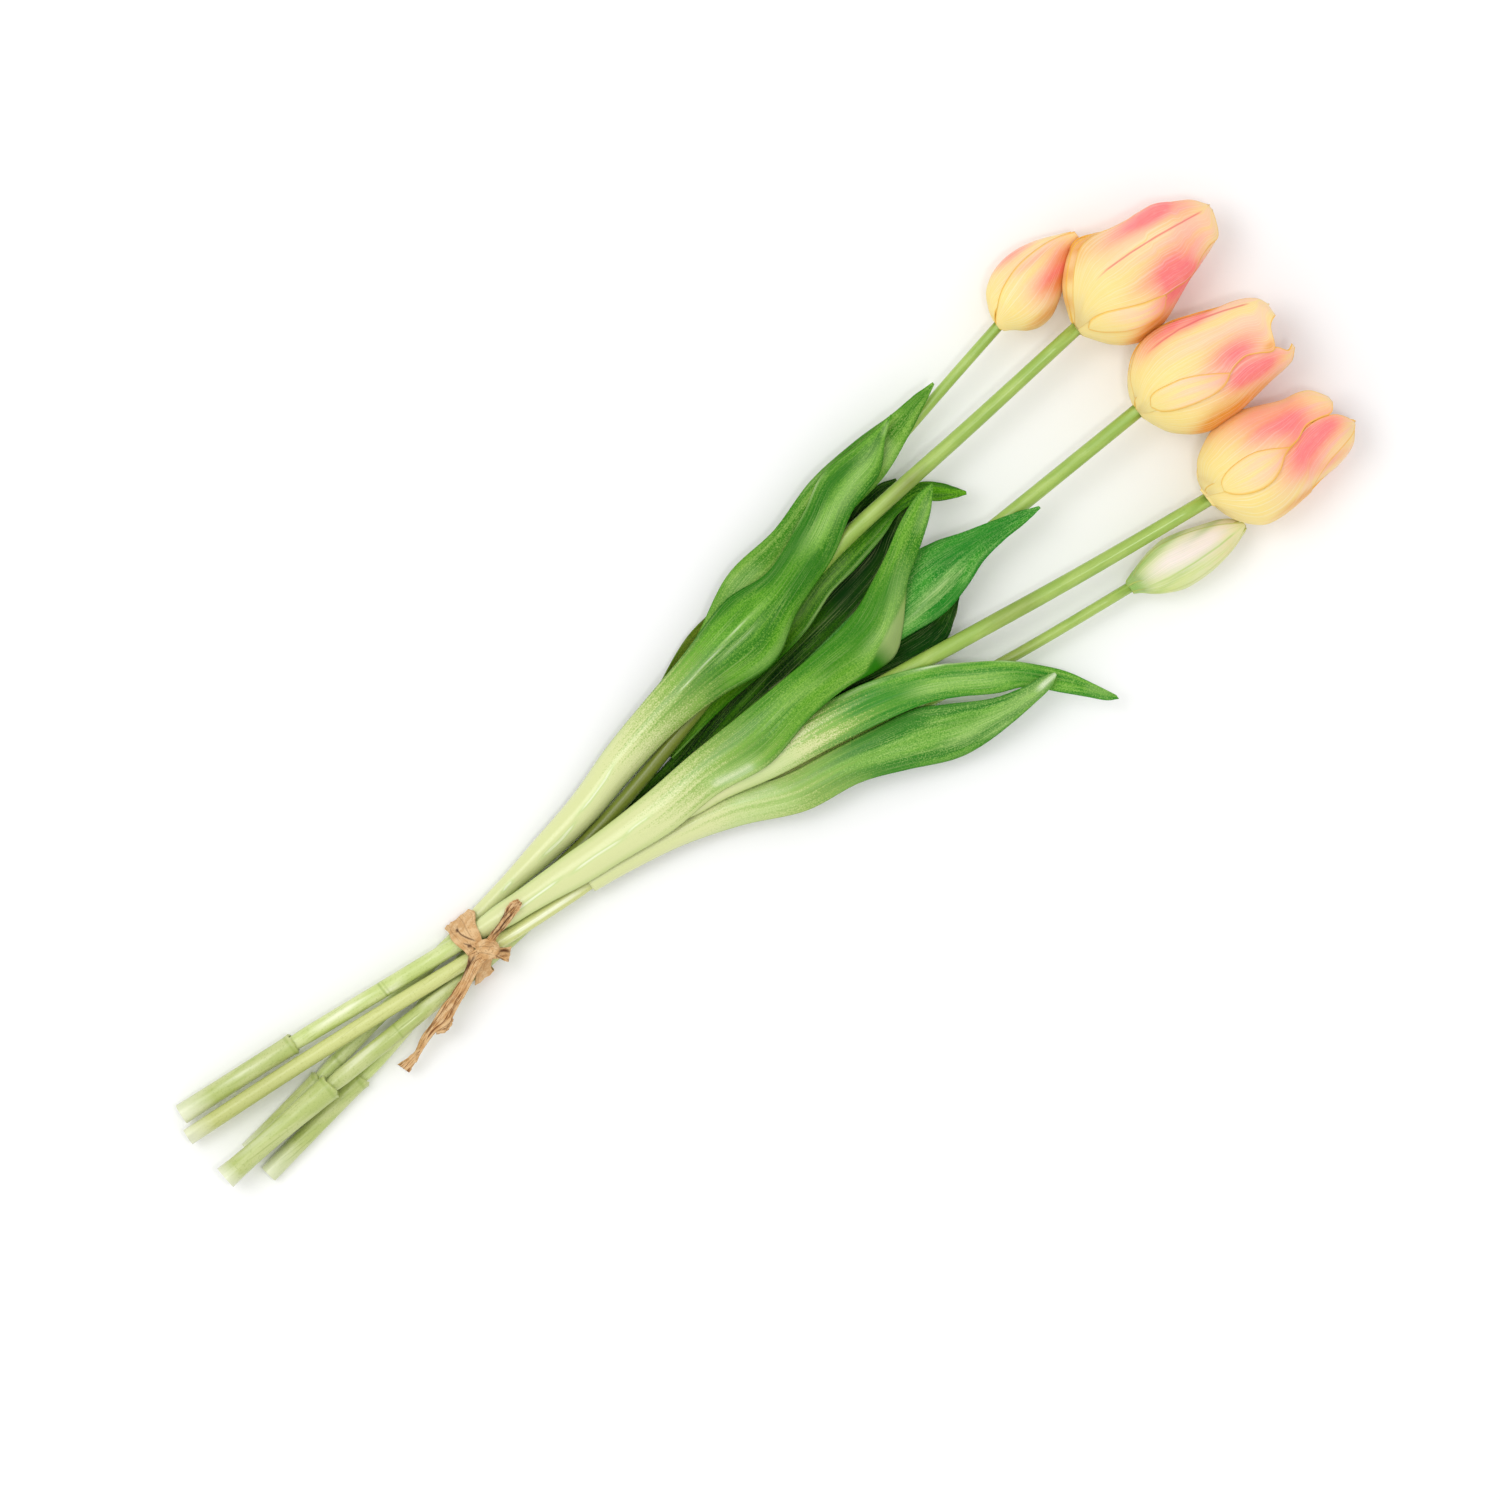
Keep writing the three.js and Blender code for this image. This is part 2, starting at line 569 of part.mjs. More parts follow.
// A petal: its outer face follows the bloom's skin, and its inner face is sunk into the core
function makePetal(bloom, curve, { azimuth, halfWidth, sink, reach, strips, root = 0 }) {
  const top = [];
  const bottom = [];
  for (let i = 0; i <= PETAL_STEPS; i++) {
    const share = i / PETAL_STEPS;
    const t = root + (reach - root) * share;
    const outer = bloomRadius(bloom, t, sink);
    const inner = Math.max(outer - petalDepth(bloom, t), outer * 0.4);
    const half = halfWidth * DEGREE * valueAt(PETAL_WIDTH, share);
    const topRow = [];
    const bottomRow = [];
    for (let j = 0; j <= strips; j++) {
      const v = (2 * j) / strips - 1;
      const angle = (azimuth + bloom.turn) * DEGREE + v * half;
      const hollow = bloom.radius * 0.02 * (1 - v * v);
      topRow.push(bloomPoint(curve, t, angle, outer - hollow));
      bottomRow.push(bloomPoint(curve, t, angle, Math.max(inner - hollow, 0.2)));
    }
    top.push(topRow);
    bottom.push(bottomRow);
  }
  return sheetGeometry(top, bottom);
}

// The core that the petals are sunk into, drawn in at its end
function makeCore(bloom, curve) {
  const end = 0.84;
  const endShare = 0.45;
  const sink = bloom.radius * 0.09;
  const rings = [];
  for (let i = 0; i <= CORE_STEPS; i++) {
    const t = (end * i) / CORE_STEPS;
    const radius = bloomRadius(bloom, t, sink) * (i === CORE_STEPS ? endShare : 1);
    const ring = [];
    for (let j = 0; j < CORE_SIDES; j++) {
      ring.push(bloomPoint(curve, t, (2 * Math.PI * j) / CORE_SIDES, radius));
    }
    rings.push(ring);
  }
  return skinGeometry(rings, false);
}

// A bloom: three outer petals, up to three inner ones and, on the large heads, a small front lobe
function makeBloom(bloom) {
  const curve = curveThrough(bloom.axis);
  const petals = [];
  for (let i = 0; i < 3; i++) {
    petals.push({ azimuth: 20 - 120 * i, halfWidth: 66, sink: 0, reach: 0.97 - 0.02 * i, strips: 5 });
  }
  const innerSink = bloom.radius * 0.05;
  for (let i = 0; i < bloom.innerPetals; i++) {
    petals.push({ azimuth: 80 - 120 * i, halfWidth: 60, sink: innerSink, reach: 1 - 0.015 * i, strips: 4 });
  }
  if (bloom.lobe) petals.push(FRONT_LOBE);
  let solid = solidOf(makeCore(bloom, curve));
  for (const petal of petals) solid = solid.add(solidOf(makePetal(bloom, curve, petal)));
  return geometryOf(restOnSurface(solid));
}

// Outline round the tied stems at x: the widest circle in each direction, with a clearance
function bundleOutline(x, clearance, count) {
  const circles = STEMS.map((stem) => {
    const { centre } = stemFrame(stem, x);
    return { y: centre.y, z: centre.z, radius: valueAt(stem.radii, x) };
  });
  const outline = [];
  for (let i = 0; i < count; i++) {
    const angle = (2 * Math.PI * i) / count;
    const [cy, cz] = [Math.cos(angle), Math.sin(angle)];
    const reach = circles.map((c) => c.y * cy + c.z * cz + c.radius);
    const circle = circles[reach.indexOf(Math.max(...reach))];
    const radius = circle.radius + clearance;
    outline.push({ y: circle.y + radius * cy, z: circle.z + radius * cz, cy, cz });
  }
  return outline;
}

// A turn of raffia round the stems, slanted along x by its slope over y
function makeTurn({ x, width, slope, clearance }) {
  const uneven = 0.12;
  const rings = bundleOutline(x, clearance, TURN_STEPS).map(({ y, z, cy, cz }, i) => {
    const middle = x + slope * y;
    const half = (width / 2) * (1 + uneven * Math.sin(3 * i));
    const corners = [[-half, 0], [half, 0], [half, RAFFIA_THICKNESS], [-half, RAFFIA_THICKNESS]];
    return corners.map(
      ([along, out]) => new THREE.Vector3(middle + along, y + cy * out, z + cz * out),
    );
  });
  return skinGeometry(rings, true);
}

// The tie: two turns round the stems, a knot and three tails
function makeTie() {
  const knot = new THREE.SphereGeometry(1, 10, 7);
  knot.scale(...KNOT.halfSizes);
  knot.rotateZ(KNOT.turn * DEGREE);
  knot.translate(...KNOT.place);
  let solid = solidOf(knot);
  for (const turn of TURNS) solid = solid.add(solidOf(makeTurn(turn)));
  for (const sections of TAILS) {
    solid = solid.add(solidOf(makeBlade({ sections }, RAFFIA_THICKNESS, TAIL_STEPS, TAIL_STRIPS)));
  }
  return geometryOf(restOnSurface(solid));
}

const bunch = new THREE.Group();

// Adds a named piece to the bunch
function addPiece(name, geometry, material) {
  geometry.computeVertexNormals();
  const mesh = new THREE.Mesh(geometry, material);
  mesh.name = name;
  bunch.add(mesh);
}

for (const stem of STEMS) stem.curve = curveThrough(stem.path);
for (const stem of STEMS) addPiece(stem.name, makeStem(stem), STEM_GREEN);
for (const sleeve of SLEEVES) addPiece(sleeve.name, makeSleeve(sleeve), PALE_GREEN);
for (const leaf of LEAVES) {
  addPiece(leaf.name, makeBlade(leaf, LEAF_THICKNESS, LEAF_STEPS, LEAF_STRIPS), LEAF_GREEN);
}
for (const bloom of BLOOMS) {
  addPiece(bloom.name, makeBloom(bloom), bloom.name === "bud_5" ? BUD_WHITE : PEACH);
}
addPiece("tie", makeTie(), RAFFIA_TAN);

export default bunch;
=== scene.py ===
# %% [markdown]
# # A bunch of five tulips, tied with paper raffia
#
# The bunch lies on its side on a pale table, and the camera looks straight down on it.
# Four heads are yellow and peach with a pink flush, the fifth is a closed green and white bud.
# The pale lower ends of four stems wear loose sleeves, and long leaves clasp the stems above the tie.
#
# The solid model of the bunch comes in as a fixed frame. Its stems, leaves and heads have the right
# size and place but coarse faces, so each gets a finer piece here that keeps its form, with thin
# edges, veins and the colours of the real thing. Everything is worked out by a formula or a table,
# so each run gives the same bunch.

# %% Load the frame
import math

import bpy
import numpy as np
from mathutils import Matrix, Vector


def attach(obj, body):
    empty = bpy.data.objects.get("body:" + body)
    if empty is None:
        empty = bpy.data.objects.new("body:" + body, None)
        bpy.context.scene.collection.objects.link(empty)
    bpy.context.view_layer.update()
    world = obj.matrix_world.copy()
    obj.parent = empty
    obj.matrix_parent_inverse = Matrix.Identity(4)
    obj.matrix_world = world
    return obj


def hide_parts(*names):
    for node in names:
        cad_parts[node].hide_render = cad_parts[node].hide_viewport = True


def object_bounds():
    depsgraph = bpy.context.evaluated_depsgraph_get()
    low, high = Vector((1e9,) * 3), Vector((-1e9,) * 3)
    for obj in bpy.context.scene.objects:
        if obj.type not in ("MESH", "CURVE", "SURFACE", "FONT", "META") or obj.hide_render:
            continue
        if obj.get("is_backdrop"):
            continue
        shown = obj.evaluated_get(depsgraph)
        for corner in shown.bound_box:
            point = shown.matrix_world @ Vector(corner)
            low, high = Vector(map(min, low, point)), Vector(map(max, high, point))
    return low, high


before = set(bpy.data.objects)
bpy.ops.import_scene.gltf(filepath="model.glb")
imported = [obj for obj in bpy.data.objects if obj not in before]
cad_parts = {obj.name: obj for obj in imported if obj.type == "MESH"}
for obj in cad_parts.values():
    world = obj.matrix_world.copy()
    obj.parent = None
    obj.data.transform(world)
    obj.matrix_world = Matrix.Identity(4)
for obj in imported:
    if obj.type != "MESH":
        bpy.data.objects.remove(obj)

MM = 0.001


def print_size(title, box):
    print(title, "in mm:", [round((high - low) / MM, 1) for low, high in zip(*box)])


def print_total(table, title):
    print(sum(len(rows) for rows in table.values()), title)


cad_box = [list(corner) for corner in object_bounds()]
print_size("size of the solid model", cad_box)

# %% [markdown]
# The photograph looks straight down, with the bunch running from the lower left to the upper right.
# In the frame the bunch runs along X, so the camera looks down along Z and is turned by 38 degrees.
# The bunch could be turned instead, but then its box would no longer lie along the axes. A long lens
# from far above keeps the stems parallel, as they are in the photograph.

# %% Camera
VIEW_WIDTH = 510 * MM
VIEW_CENTRE = (-2.35 * MM, -7.92 * MM)
VIEW_TURN = math.radians(-38)
CAMERA_HEIGHT = 6
MIDDLE_HEIGHT = 14 * MM
SENSOR = 36


def clear_selection():
    bpy.ops.object.select_all(action="DESELECT")


clear_selection()
bpy.ops.object.camera_add(location=(*VIEW_CENTRE, CAMERA_HEIGHT), rotation=(0, 0, VIEW_TURN))
camera = bpy.context.object
camera.name = "camera"
camera.data.sensor_width = SENSOR
camera.data.lens = SENSOR * (CAMERA_HEIGHT - MIDDLE_HEIGHT) / VIEW_WIDTH
bpy.context.scene.camera = camera
print("lens in mm:", round(camera.data.lens, 1))

# %% [markdown]
# Colours are given as seen on a display, where a value of one half is a middle grey. The shaders work
# with linear light, so a small helper turns the one into the other. A finish starts from a roughness,
# a clear coat and the strength of its mirror, because these differ between leaf, stem, petal and paper.

# %% Colours as seen on a display
def seen(red, green, blue):
    linear = [c / 12.92 if c <= 0.04045 else ((c + 0.055) / 1.055) ** 2.4 for c in (red, green, blue)]
    return (*linear, 1)


print("a middle grey in linear light is", round(seen(0.5, 0.5, 0.5)[0], 3))

# %% Start a finish
COAT_ROUGHNESS = 0.17


def new_finish(name, roughness, coat=0.0, mirror=0.25):
    material = bpy.data.materials.new(name)
    material.use_nodes = True
    shader = material.node_tree.nodes["Principled BSDF"]
    shader.inputs["Roughness"].default_value = roughness
    shader.inputs["Specular IOR Level"].default_value = mirror
    shader.inputs["Coat Weight"].default_value = coat
    shader.inputs["Coat Roughness"].default_value = COAT_ROUGHNESS
    return material, material.node_tree, shader


# %% [markdown]
# The floor is plain and nearly white, and the light is soft and comes from all round. Many lamps round
# the bunch could do this, but an even sky does it with no hard edges. One wide lamp at the upper left
# shapes the leaves and heads, and one small lamp gives the smooth pale stems their narrow highlights.
# The plain view transform keeps the clear colours of a product photograph.

# %% Floor
FLOOR_SIZE = 6
FLOOR_HEIGHT = -0.3 * MM

clear_selection()
bpy.ops.mesh.primitive_plane_add(size=FLOOR_SIZE, location=(0, 0, FLOOR_HEIGHT))
floor = bpy.context.object
floor.name = "floor"
floor_paint, _, floor_shader = new_finish("floor_paint", roughness=0.9, mirror=0.5)
floor_shader.inputs["Base Color"].default_value = seen(0.98, 0.98, 0.98)
floor.data.materials.append(floor_paint)
floor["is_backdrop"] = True
print("the floor lies", abs(round(FLOOR_HEIGHT / MM, 1)), "mm under the bunch")

# %% Light and view
SKY_STRENGTH = 0.84
# Name, power, size and place of each lamp
LAMPS = [("wide_lamp", 26, 1.6, (-0.7, 1.2, 3.0)), ("small_lamp", 10, 0.25, (0.2, -0.4, 3.0))]

sky = bpy.data.worlds.new("sky")
sky.use_nodes = True
sky.node_tree.nodes["Background"].inputs["Color"].default_value = (1, 1, 1, 1)
sky.node_tree.nodes["Background"].inputs["Strength"].default_value = SKY_STRENGTH
bpy.context.scene.world = sky
for name, power, size, place in LAMPS:
    clear_selection()
    bpy.ops.object.light_add(type="AREA", location=place)
    lamp = bpy.context.object
    lamp.name = name
    lamp.rotation_euler = (-lamp.location).to_track_quat("-Z", "Y").to_euler()
    lamp.data.energy = power
    lamp.data.size = size
bpy.context.scene.view_settings.view_transform = "Standard"
print("a sky and", len(LAMPS), "lamps are in place")

# %% [markdown]
# A leaf, a petal and a strip of raffia are all thin sheets. They could be pulled into shape by hand,
# but the photograph gives their edges point by point, and a hand would lose them. So a sheet starts
# as a flat grid, whose points are moved to where the leaf or petal has them. The grid brings its own
# map with it, which runs from the root to the tip and across, so that veins can follow the sheet. A
# modifier then gives it thickness, and is applied. Values noted at the points tell the finish where
# marks lie.
#
# Each kind of sheet has a function that places its points: u runs from 0 at the root to 1 at the tip,
# and v runs across the sheet from -1 to 1.

# %% Points of a piece, in mm
def points_of(piece, unit=MM):
    return np.array([vertex.co for vertex in piece.data.vertices]) / unit


def move_points(piece, points):
    piece.data.vertices.foreach_set("co", (points * MM).ravel())
    piece.data.update()


def note_values(piece, name, values):
    layer = piece.data.attributes.new(name, "FLOAT", "POINT")
    layer.data.foreach_set("value", np.full(len(layer.data), values, np.float32))


# %% Make a thin sheet from a grid
def choose(piece):
    clear_selection()
    piece.select_set(True)
    bpy.context.view_layer.objects.active = piece


def sheet_piece(name, grid, place, *details):
    clear_selection()
    bpy.ops.mesh.primitive_grid_add(x_subdivisions=grid[0], y_subdivisions=grid[1], size=2)
    piece = bpy.context.object
    piece.name = name
    flat = points_of(piece, unit=1)
    move_points(piece, place((flat[:, 0] + 1) / 2, flat[:, 1], *details))
    return piece


def thicken(piece, thickness):
    choose(piece)
    bpy.ops.object.modifier_add(type="SOLIDIFY")
    wall = piece.modifiers[-1]
    wall.thickness = thickness * MM
    wall.offset = -1
    wall.use_rim = True
    bpy.ops.object.modifier_apply(modifier=wall.name)
    bpy.ops.object.shade_smooth()


# %% Join pieces, and put one in the place of a solid
def join(name, pieces):
    choose(pieces[0])
    for piece in pieces:
        piece.select_set(True)
    bpy.ops.object.join()
    pieces[0].name = name
    return pieces[0]


def settle(piece, node, slot, material):
    piece.data.materials.clear()
    piece.data.materials.append(material)
    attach(piece, "root")
    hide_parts(node)
    triangles = sum(len(face.vertices) - 2 for face in piece.data.polygons)
    print(piece.name, "stands for", node, "with", triangles, "triangles")


# %% [markdown]
# The edges of the leaves and petals are smooth curves. They could be drawn as curve objects, but a
# short formula through a few measured points gives the same line, and any point on it, in one call.

# %% Smooth curve through measured points
# The curve passes through every point. The share runs from 0 at the first to 1 at the last.
def smooth_path(points, share):
    listed = np.array(points, float)
    listed = np.vstack([2 * listed[0] - listed[1], listed, 2 * listed[-1] - listed[-2]])
    step = np.clip(share, 0, 1) * (len(listed) - 3)
    start = np.minimum(step.astype(int), len(listed) - 4)
    w = (step - start)[:, None]
    a, b, c, d = (listed[start + i] for i in range(4))
    return 0.5 * (2 * b + (c - a) * w + (2 * a - 5 * b + 4 * c - d) * w**2 + (3 * b - a - 3 * c + d) * w**3)


# A soft step from 0 at the low value to 1 at the high one
def ease(value, low, high):
    t = np.clip((np.asarray(value, float) - low) / (high - low), 0, 1)
    return t * t * (3 - 2 * t)


print("a quarter of the way eases to", float(ease(0.25, 0, 1)))

# %% [markdown]
# A leaf of a tulip clasps the stem with its lower end and opens into a long, waved blade. A blade could
# be cut flat and bent with a modifier, but no two leaves bend alike. Each leaf is given by sections
# along it instead: the place along the bunch, its upper and lower edge, the height of its rib, how
# far it wraps, how it rolls, and how far its upper edge leans ahead. The sections follow the leaves
# in the photograph. A wrap of more than 90 degrees closes round the stem.

# %% Sections of the leaves on the upper side, in mm and degrees
LEAVES = {
    "leaf_1": [
        (-114, 7, 1.5, 7.3, 150), (-95, 10, 3.2, 8.3, 140), (-80, 13, 3.6, 9.8, 115),
        (-60, 17, 5.4, 11.6, 100), (-40, 23, 9.5, 13, 75), (-20, 27.5, 12.4, 14.8, 55),
        (0, 31.7, 12.6, 17, 40), (22, 37.3, 10.3, 18.4, 32), (40, 36.2, 19.4, 19.2, 32),
        (60, 43.6, 26.2, 19.6, 30), (75, 51, 34.5, 20, 27), (90, 51.3, 38.8, 20.4, 25),
        (99, 51.6, 47.2, 20.6, 20), (105.5, 52.5, 51.7, 20.6, 12),
    ],
    "leaf_2": [
        (-45, 17.7, 11.3, 9.7, 120), (-20, 24, 16, 11.9, 90), (5, 32.8, 22, 13.1, 35),
        (28, 43.6, 27, 13.8, 18), (50, 46, 31.8, 15, 16), (70, 51.5, 34.4, 15.8, 16),
        (90, 52.9, 37, 16.2, 22), (105, 52.4, 42.6, 17.2, 22), (115, 52.7, 47.2, 17.9, 18),
        (123.5, 52.4, 51.4, 18.2, 12),
    ],
    "leaf_3": [
        (-25, 13, 6.6, 2.9, -80), (0, 19.6, 9.5, 5, -48), (22, 24.6, 10.3, 6.9, -38),
        (38, 27.6, 12.5, 7.9, -30), (52, 30.2, 17.3, 8.9, -25), (65, 32, 18.8, 9.8, -22),
        (79, 31.5, 21.8, 10.6, -18), (89, 29.4, 24.4, 11.6, -10, 0, 2),
        (97, 28.3, 23.5, 12.4, 10, 0, 2.3), (102.5, 23.6, 19.4, 12.9, 14, 0, 2.4),
        (106.5, 19, 16.8, 13, 12, 0, 1.5), (109.5, 16.2, 15.2, 13, 10, 0, 0.3),
    ],
}

# %% Sections of the leaves in the middle
LEAVES |= {
    "leaf_4": [
        (-114, 3.6, -2.4, 13.2, 90), (-104, 3.8, -4.9, 15, 56), (-95, 3.2, -6, 15.3, 52),
        (-85, 2.9, -7.5, 15.4, 48), (-73, 2.6, -9.6, 15.8, 45), (-60, 2, -11, 16.2, 45),
        (-40, 2.1, -13.4, 17.2, 42), (-20, 3.2, -13, 19.1, 42), (0, 3.5, -15.8, 20.6, 28),
        (20, 4, -12, 20.9, 28), (36, 4.6, -11.4, 21.5, 25), (48, 5.6, -13.2, 22, 28),
        (57, 8, -12.8, 22.5, 32), (65, 11.4, -6.4, 23, 32), (75, 16, 4, 23.6, 27),
        (85, 21.4, 10.4, 24.3, 24), (95, 25.2, 17.4, 25, 20), (102, 25.5, 24.5, 25.4, 12),
    ],
    "leaf_5": [
        (10, 2.1, -6.1, 13.4, 105), (35, 5, -8, 15.6, 65), (60, 8, -10, 17.3, 38),
        (78, 11, -12, 18.6, 30), (90, 9.5, -9.6, 19.2, 26), (100, 6, -6.2, 19.9, 22),
        (110, 2.9, -4.9, 20.6, 20), (118, 0.2, -4.8, 21.2, 16), (126, -3, -4, 21.6, 10),
    ],
    "leaf_6": [
        (15, 4, -7.6, 6.1, -55), (40, 4, -14, 7.2, -20), (60, 2, -19, 7.8, -12),
        (73, 0, -19.4, 8.5, -12), (80, -1, -15.4, 9, -10), (86, -3, -10.8, 9.3, -8),
        (91, -5.6, -6.5, 9.6, -6),
    ],
}

# %% Sections of the leaves on the lower side and of two that hardly show
LEAVES |= {
    "leaf_7": [
        (-40, -5.8, -11, 15.5, 34), (-30, -3.7, -14.2, 15.5, 57), (-18, -4.6, -16.2, 15.6, 57),
        (0, -7, -20.8, 16.9, 50), (20, -9.5, -24.4, 17.4, 44), (40, -13.4, -28.4, 18.1, 28),
        (55, -19, -32.8, 18.2, 24, 9), (65, -24, -37.8, 17.5, 22, 7), (75, -30.5, -44.2, 16.6, 22, 4),
        (85, -37.6, -49, 15.9, 20), (93, -45.7, -57.6, 15.2, 18), (99, -53.2, -64.2, 14.5, 16),
        (103.5, -61.8, -69.2, 13.8, 12), (107.3, -69.8, -71.5, 13.2, 10),
    ],
    "leaf_8": [
        (-73.5, -6.6, -13.4, 11.7, 160), (-60, -8, -15.4, 11.6, 130), (-40, -10.4, -19.6, 11.8, 90),
        (-20, -13, -26.6, 12.3, 58), (0, -21.4, -36, 13.6, 30), (20, -25.2, -39.7, 14.1, 25),
        (35, -28.2, -46, 14.7, 25, 5), (50, -31.4, -53.5, 14.2, 27, 8), (60, -37, -55.6, 14.8, 25, 8),
        (73, -44.7, -55.7, 16.2, 22, 6), (84, -48.2, -55, 17.4, 18), (91, -49.3, -54.2, 17.9, 14),
        (95.5, -50.9, -52, 18, 10),
    ],
    "leaf_9": [
        (-25, 22.4, 14.6, 4.9, -60), (0, 34, 24.5, 5, -20), (14, 37, 26, 5.2, -15),
        (32, 38.6, 30, 5.8, -12), (48, 38, 36.8, 6.4, -8),
    ],
    "leaf_10": [
        (-64, 2.6, 0.2, 1.1, -6), (-45, 4.2, 0, 1.6, -8), (-25, 6.4, 0, 1.9, -10),
        (-15, 10.6, 0, 2.1, -12), (5, 20, 1, 2.7, -14), (25, 27, 2.4, 3.6, -14),
        (50, 32.4, 4.5, 5.3, -13), (70, 33.6, 9, 7, -13), (80, 36, 15.5, 8, -12),
        (88, 36.2, 21, 9, -10), (93.5, 34.4, 26, 9.6, -8),
    ],
}
print_total(LEAVES, "sections of leaves")

# %% Place the points of a bent blade
# The least wrap of a blade, in degrees, and the number of ripples along it
LEAST_WRAP = 2
WAVES = 4
# Height of the ripple along the edges of some leaves, and of all others, in mm
RIPPLES = {"leaf_1": 0.5, "leaf_2": 0.5, "leaf_5": 0.5, "leaf_7": 0.4, "leaf_8": 0.5}
SMALL_RIPPLE = 0.3
# Depth and half width of the groove over the rib, and half the width of a blade that has all of it
GROOVE = 0.35
GROOVE_SHARE = 0.09
GROOVED_FROM = 6
UP = np.array((0.0, 0.0, 1.0))


def across(values, vectors):
    return values[:, None] * vectors


def bent_blade(u, v, sections, ripple):
    x, high, low, height, wraps, rolls, lean = np.transpose([(*row, 0, 0)[:7] for row in sections])
    left = smooth_path(np.transpose((x + lean, high, height)), u)
    right = smooth_path(np.transpose((x - lean, low, height)), u)
    wrap, roll = smooth_path(np.transpose((wraps, rolls)), u).T
    wrap, roll = np.radians(np.where(np.abs(wrap) < LEAST_WRAP, LEAST_WRAP, wrap)), np.radians(roll)
    width = np.linalg.norm(right - left, axis=1)
    flat_side = (right - left) / width[:, None]
    side = across(np.cos(roll), flat_side) - across(np.sin(roll), UP)
    rise = across(np.cos(roll), UP) + across(np.sin(roll), flat_side)
    half = width / 2 / np.cos(roll)
    radius = half / np.sin(np.minimum(np.abs(wrap), np.pi / 2)) * np.sign(wrap)
    # The ripple and the groove swell along the middle of the blade and die out at its tip
    swell = ease(u, 0.35, 0.6) * (1 - ease(u, 0.85, 1))
    wave = ripple * np.abs(v) ** 3 * np.sin(2 * np.pi * WAVES * u - 2 * v)
    crease = GROOVE * np.exp(-((v / GROOVE_SHARE) ** 2)) * np.minimum(1, half / GROOVED_FROM)
    lift = swell * (wave - crease) - radius * (1 - np.cos(v * wrap))
    return (left + right) / 2 - across(radius * np.sin(v * wrap), side) + across(lift, rise)


tip = bent_blade(np.ones(1), np.zeros(1), LEAVES["leaf_1"], 0)[0]
print("the first leaf ends at", [round(float(value), 1) for value in tip], "mm")

# %% [markdown]
# The real leaves are pale yellow-green and smooth where they clasp the stems, and turn through a
# light to a deep green along the blade. Fine streaks run from the root to the tip, and the surface
# has a fine speckle. The colour follows the place along the bunch and the streaks follow the
# sheet's own map. Light and dark marks are noted at the points of a leaf, so that they lie just
# where the photograph shows them.
#
# One colour ramp could hold all the greens, but then the streaks could not change on their own. So a
# finish is painted in layers. Each layer follows a value, such as a noise, from one number to
# another, and is as strong as its next two numbers say there. A layer can also keep to the places
# that are noted at the points under a name.

# %% Steps of a finish
# Each input of a step is either set to a value or linked to what another step gives
def add_step(tree, kind, inputs, **settings):
    step = tree.nodes.new("ShaderNode" + kind)
    for name, value in settings.items():
        setattr(step, name, value)
    for name, value in inputs.items():
        if isinstance(value, bpy.types.NodeSocket):
            tree.links.new(value, step.inputs[name])
        else:
            step.inputs[name].default_value = value
    return step


def calculated(tree, operation, first, second=0.0):
    return add_step(tree, "Math", {0: first, 1: second}, operation=operation).outputs[0]


def remapped(tree, source, *ends):
    inputs = dict(enumerate((source, *ends)))
    return add_step(tree, "MapRange", inputs, interpolation_type="SMOOTHSTEP").outputs[0]


def mixed(tree, amount, first, second):
    return add_step(tree, "Mix", {0: amount, 6: first, 7: second}, data_type="RGBA").outputs[2]


def noted(tree, name):
    return add_step(tree, "Attribute", {}, attribute_name=name).outputs["Fac"]


# %% Maps and noises
def coordinate(tree, kind, axis):
    source = add_step(tree, "TexCoord", {}).outputs[kind]
    return add_step(tree, "SeparateXYZ", {0: source}).outputs[axis]


# One noise for each row: the map it follows, its scales, its detail and its own shift
def noises(tree, seed, table):
    maps = add_step(tree, "TexCoord", {}).outputs
    for kind, scales, detail, shift in table:
        mapping = {"Vector": maps[kind], "Scale": scales, "Location": (seed + shift,) * 3}
        shifted = add_step(tree, "Mapping", mapping).outputs["Vector"]
        noise = {"Vector": shifted, "Scale": 1, "Detail": detail}
        yield add_step(tree, "TexNoise", noise).outputs["Fac"]


# %% Layers of paint
def layered(tree, colour, layers):
    for source, low, high, weak, strong, paint, *names in layers:
        amount = remapped(tree, source, low, high, weak, strong)
        for name in names:
            amount = calculated(tree, "MULTIPLY", amount, noted(tree, name))
        colour = mixed(tree, amount, colour, paint)
    return colour


def marked(tree, colour, paints):
    for name, paint in paints.items():
        colour = mixed(tree, noted(tree, name), colour, paint)
    return colour


def complete(tree, shader, colour, relief, strength, depth):
    tree.links.new(colour, shader.inputs["Base Color"])
    bump = add_step(tree, "Bump", {"Height": relief, "Strength": strength, "Distance": depth * MM})
    tree.links.new(bump.outputs["Normal"], shader.inputs["Normal"])


# %% Green of a blade
def blade_green(tree, streaks, fine, broad, speckle, over, light, middle, deep):
    return layered(tree, deep, [
        (broad, 0.40, 0.60, 0, 1, middle),
        (streaks, 0.48, 0.70, 0, 0.38, light),
        (streaks, 0.44, 0.30, 0, 0.15, deep),
        (fine, 0.50, 0.70, 0, 0.25, light),
        (speckle, 0.35, 0.50, 0.55, 0, deep),
        (speckle, 0.50, 0.65, 0, 0.5, light),
        # Painted shade where the dark marks are noted at the points
        (streaks, 0.3, 0.6, 0.7, 1, deep, "shade"),
        (over, 0.86, 1, 0, 0.5, deep),
        (over, 0.14, 0, 0, 0.5, deep),
    ])
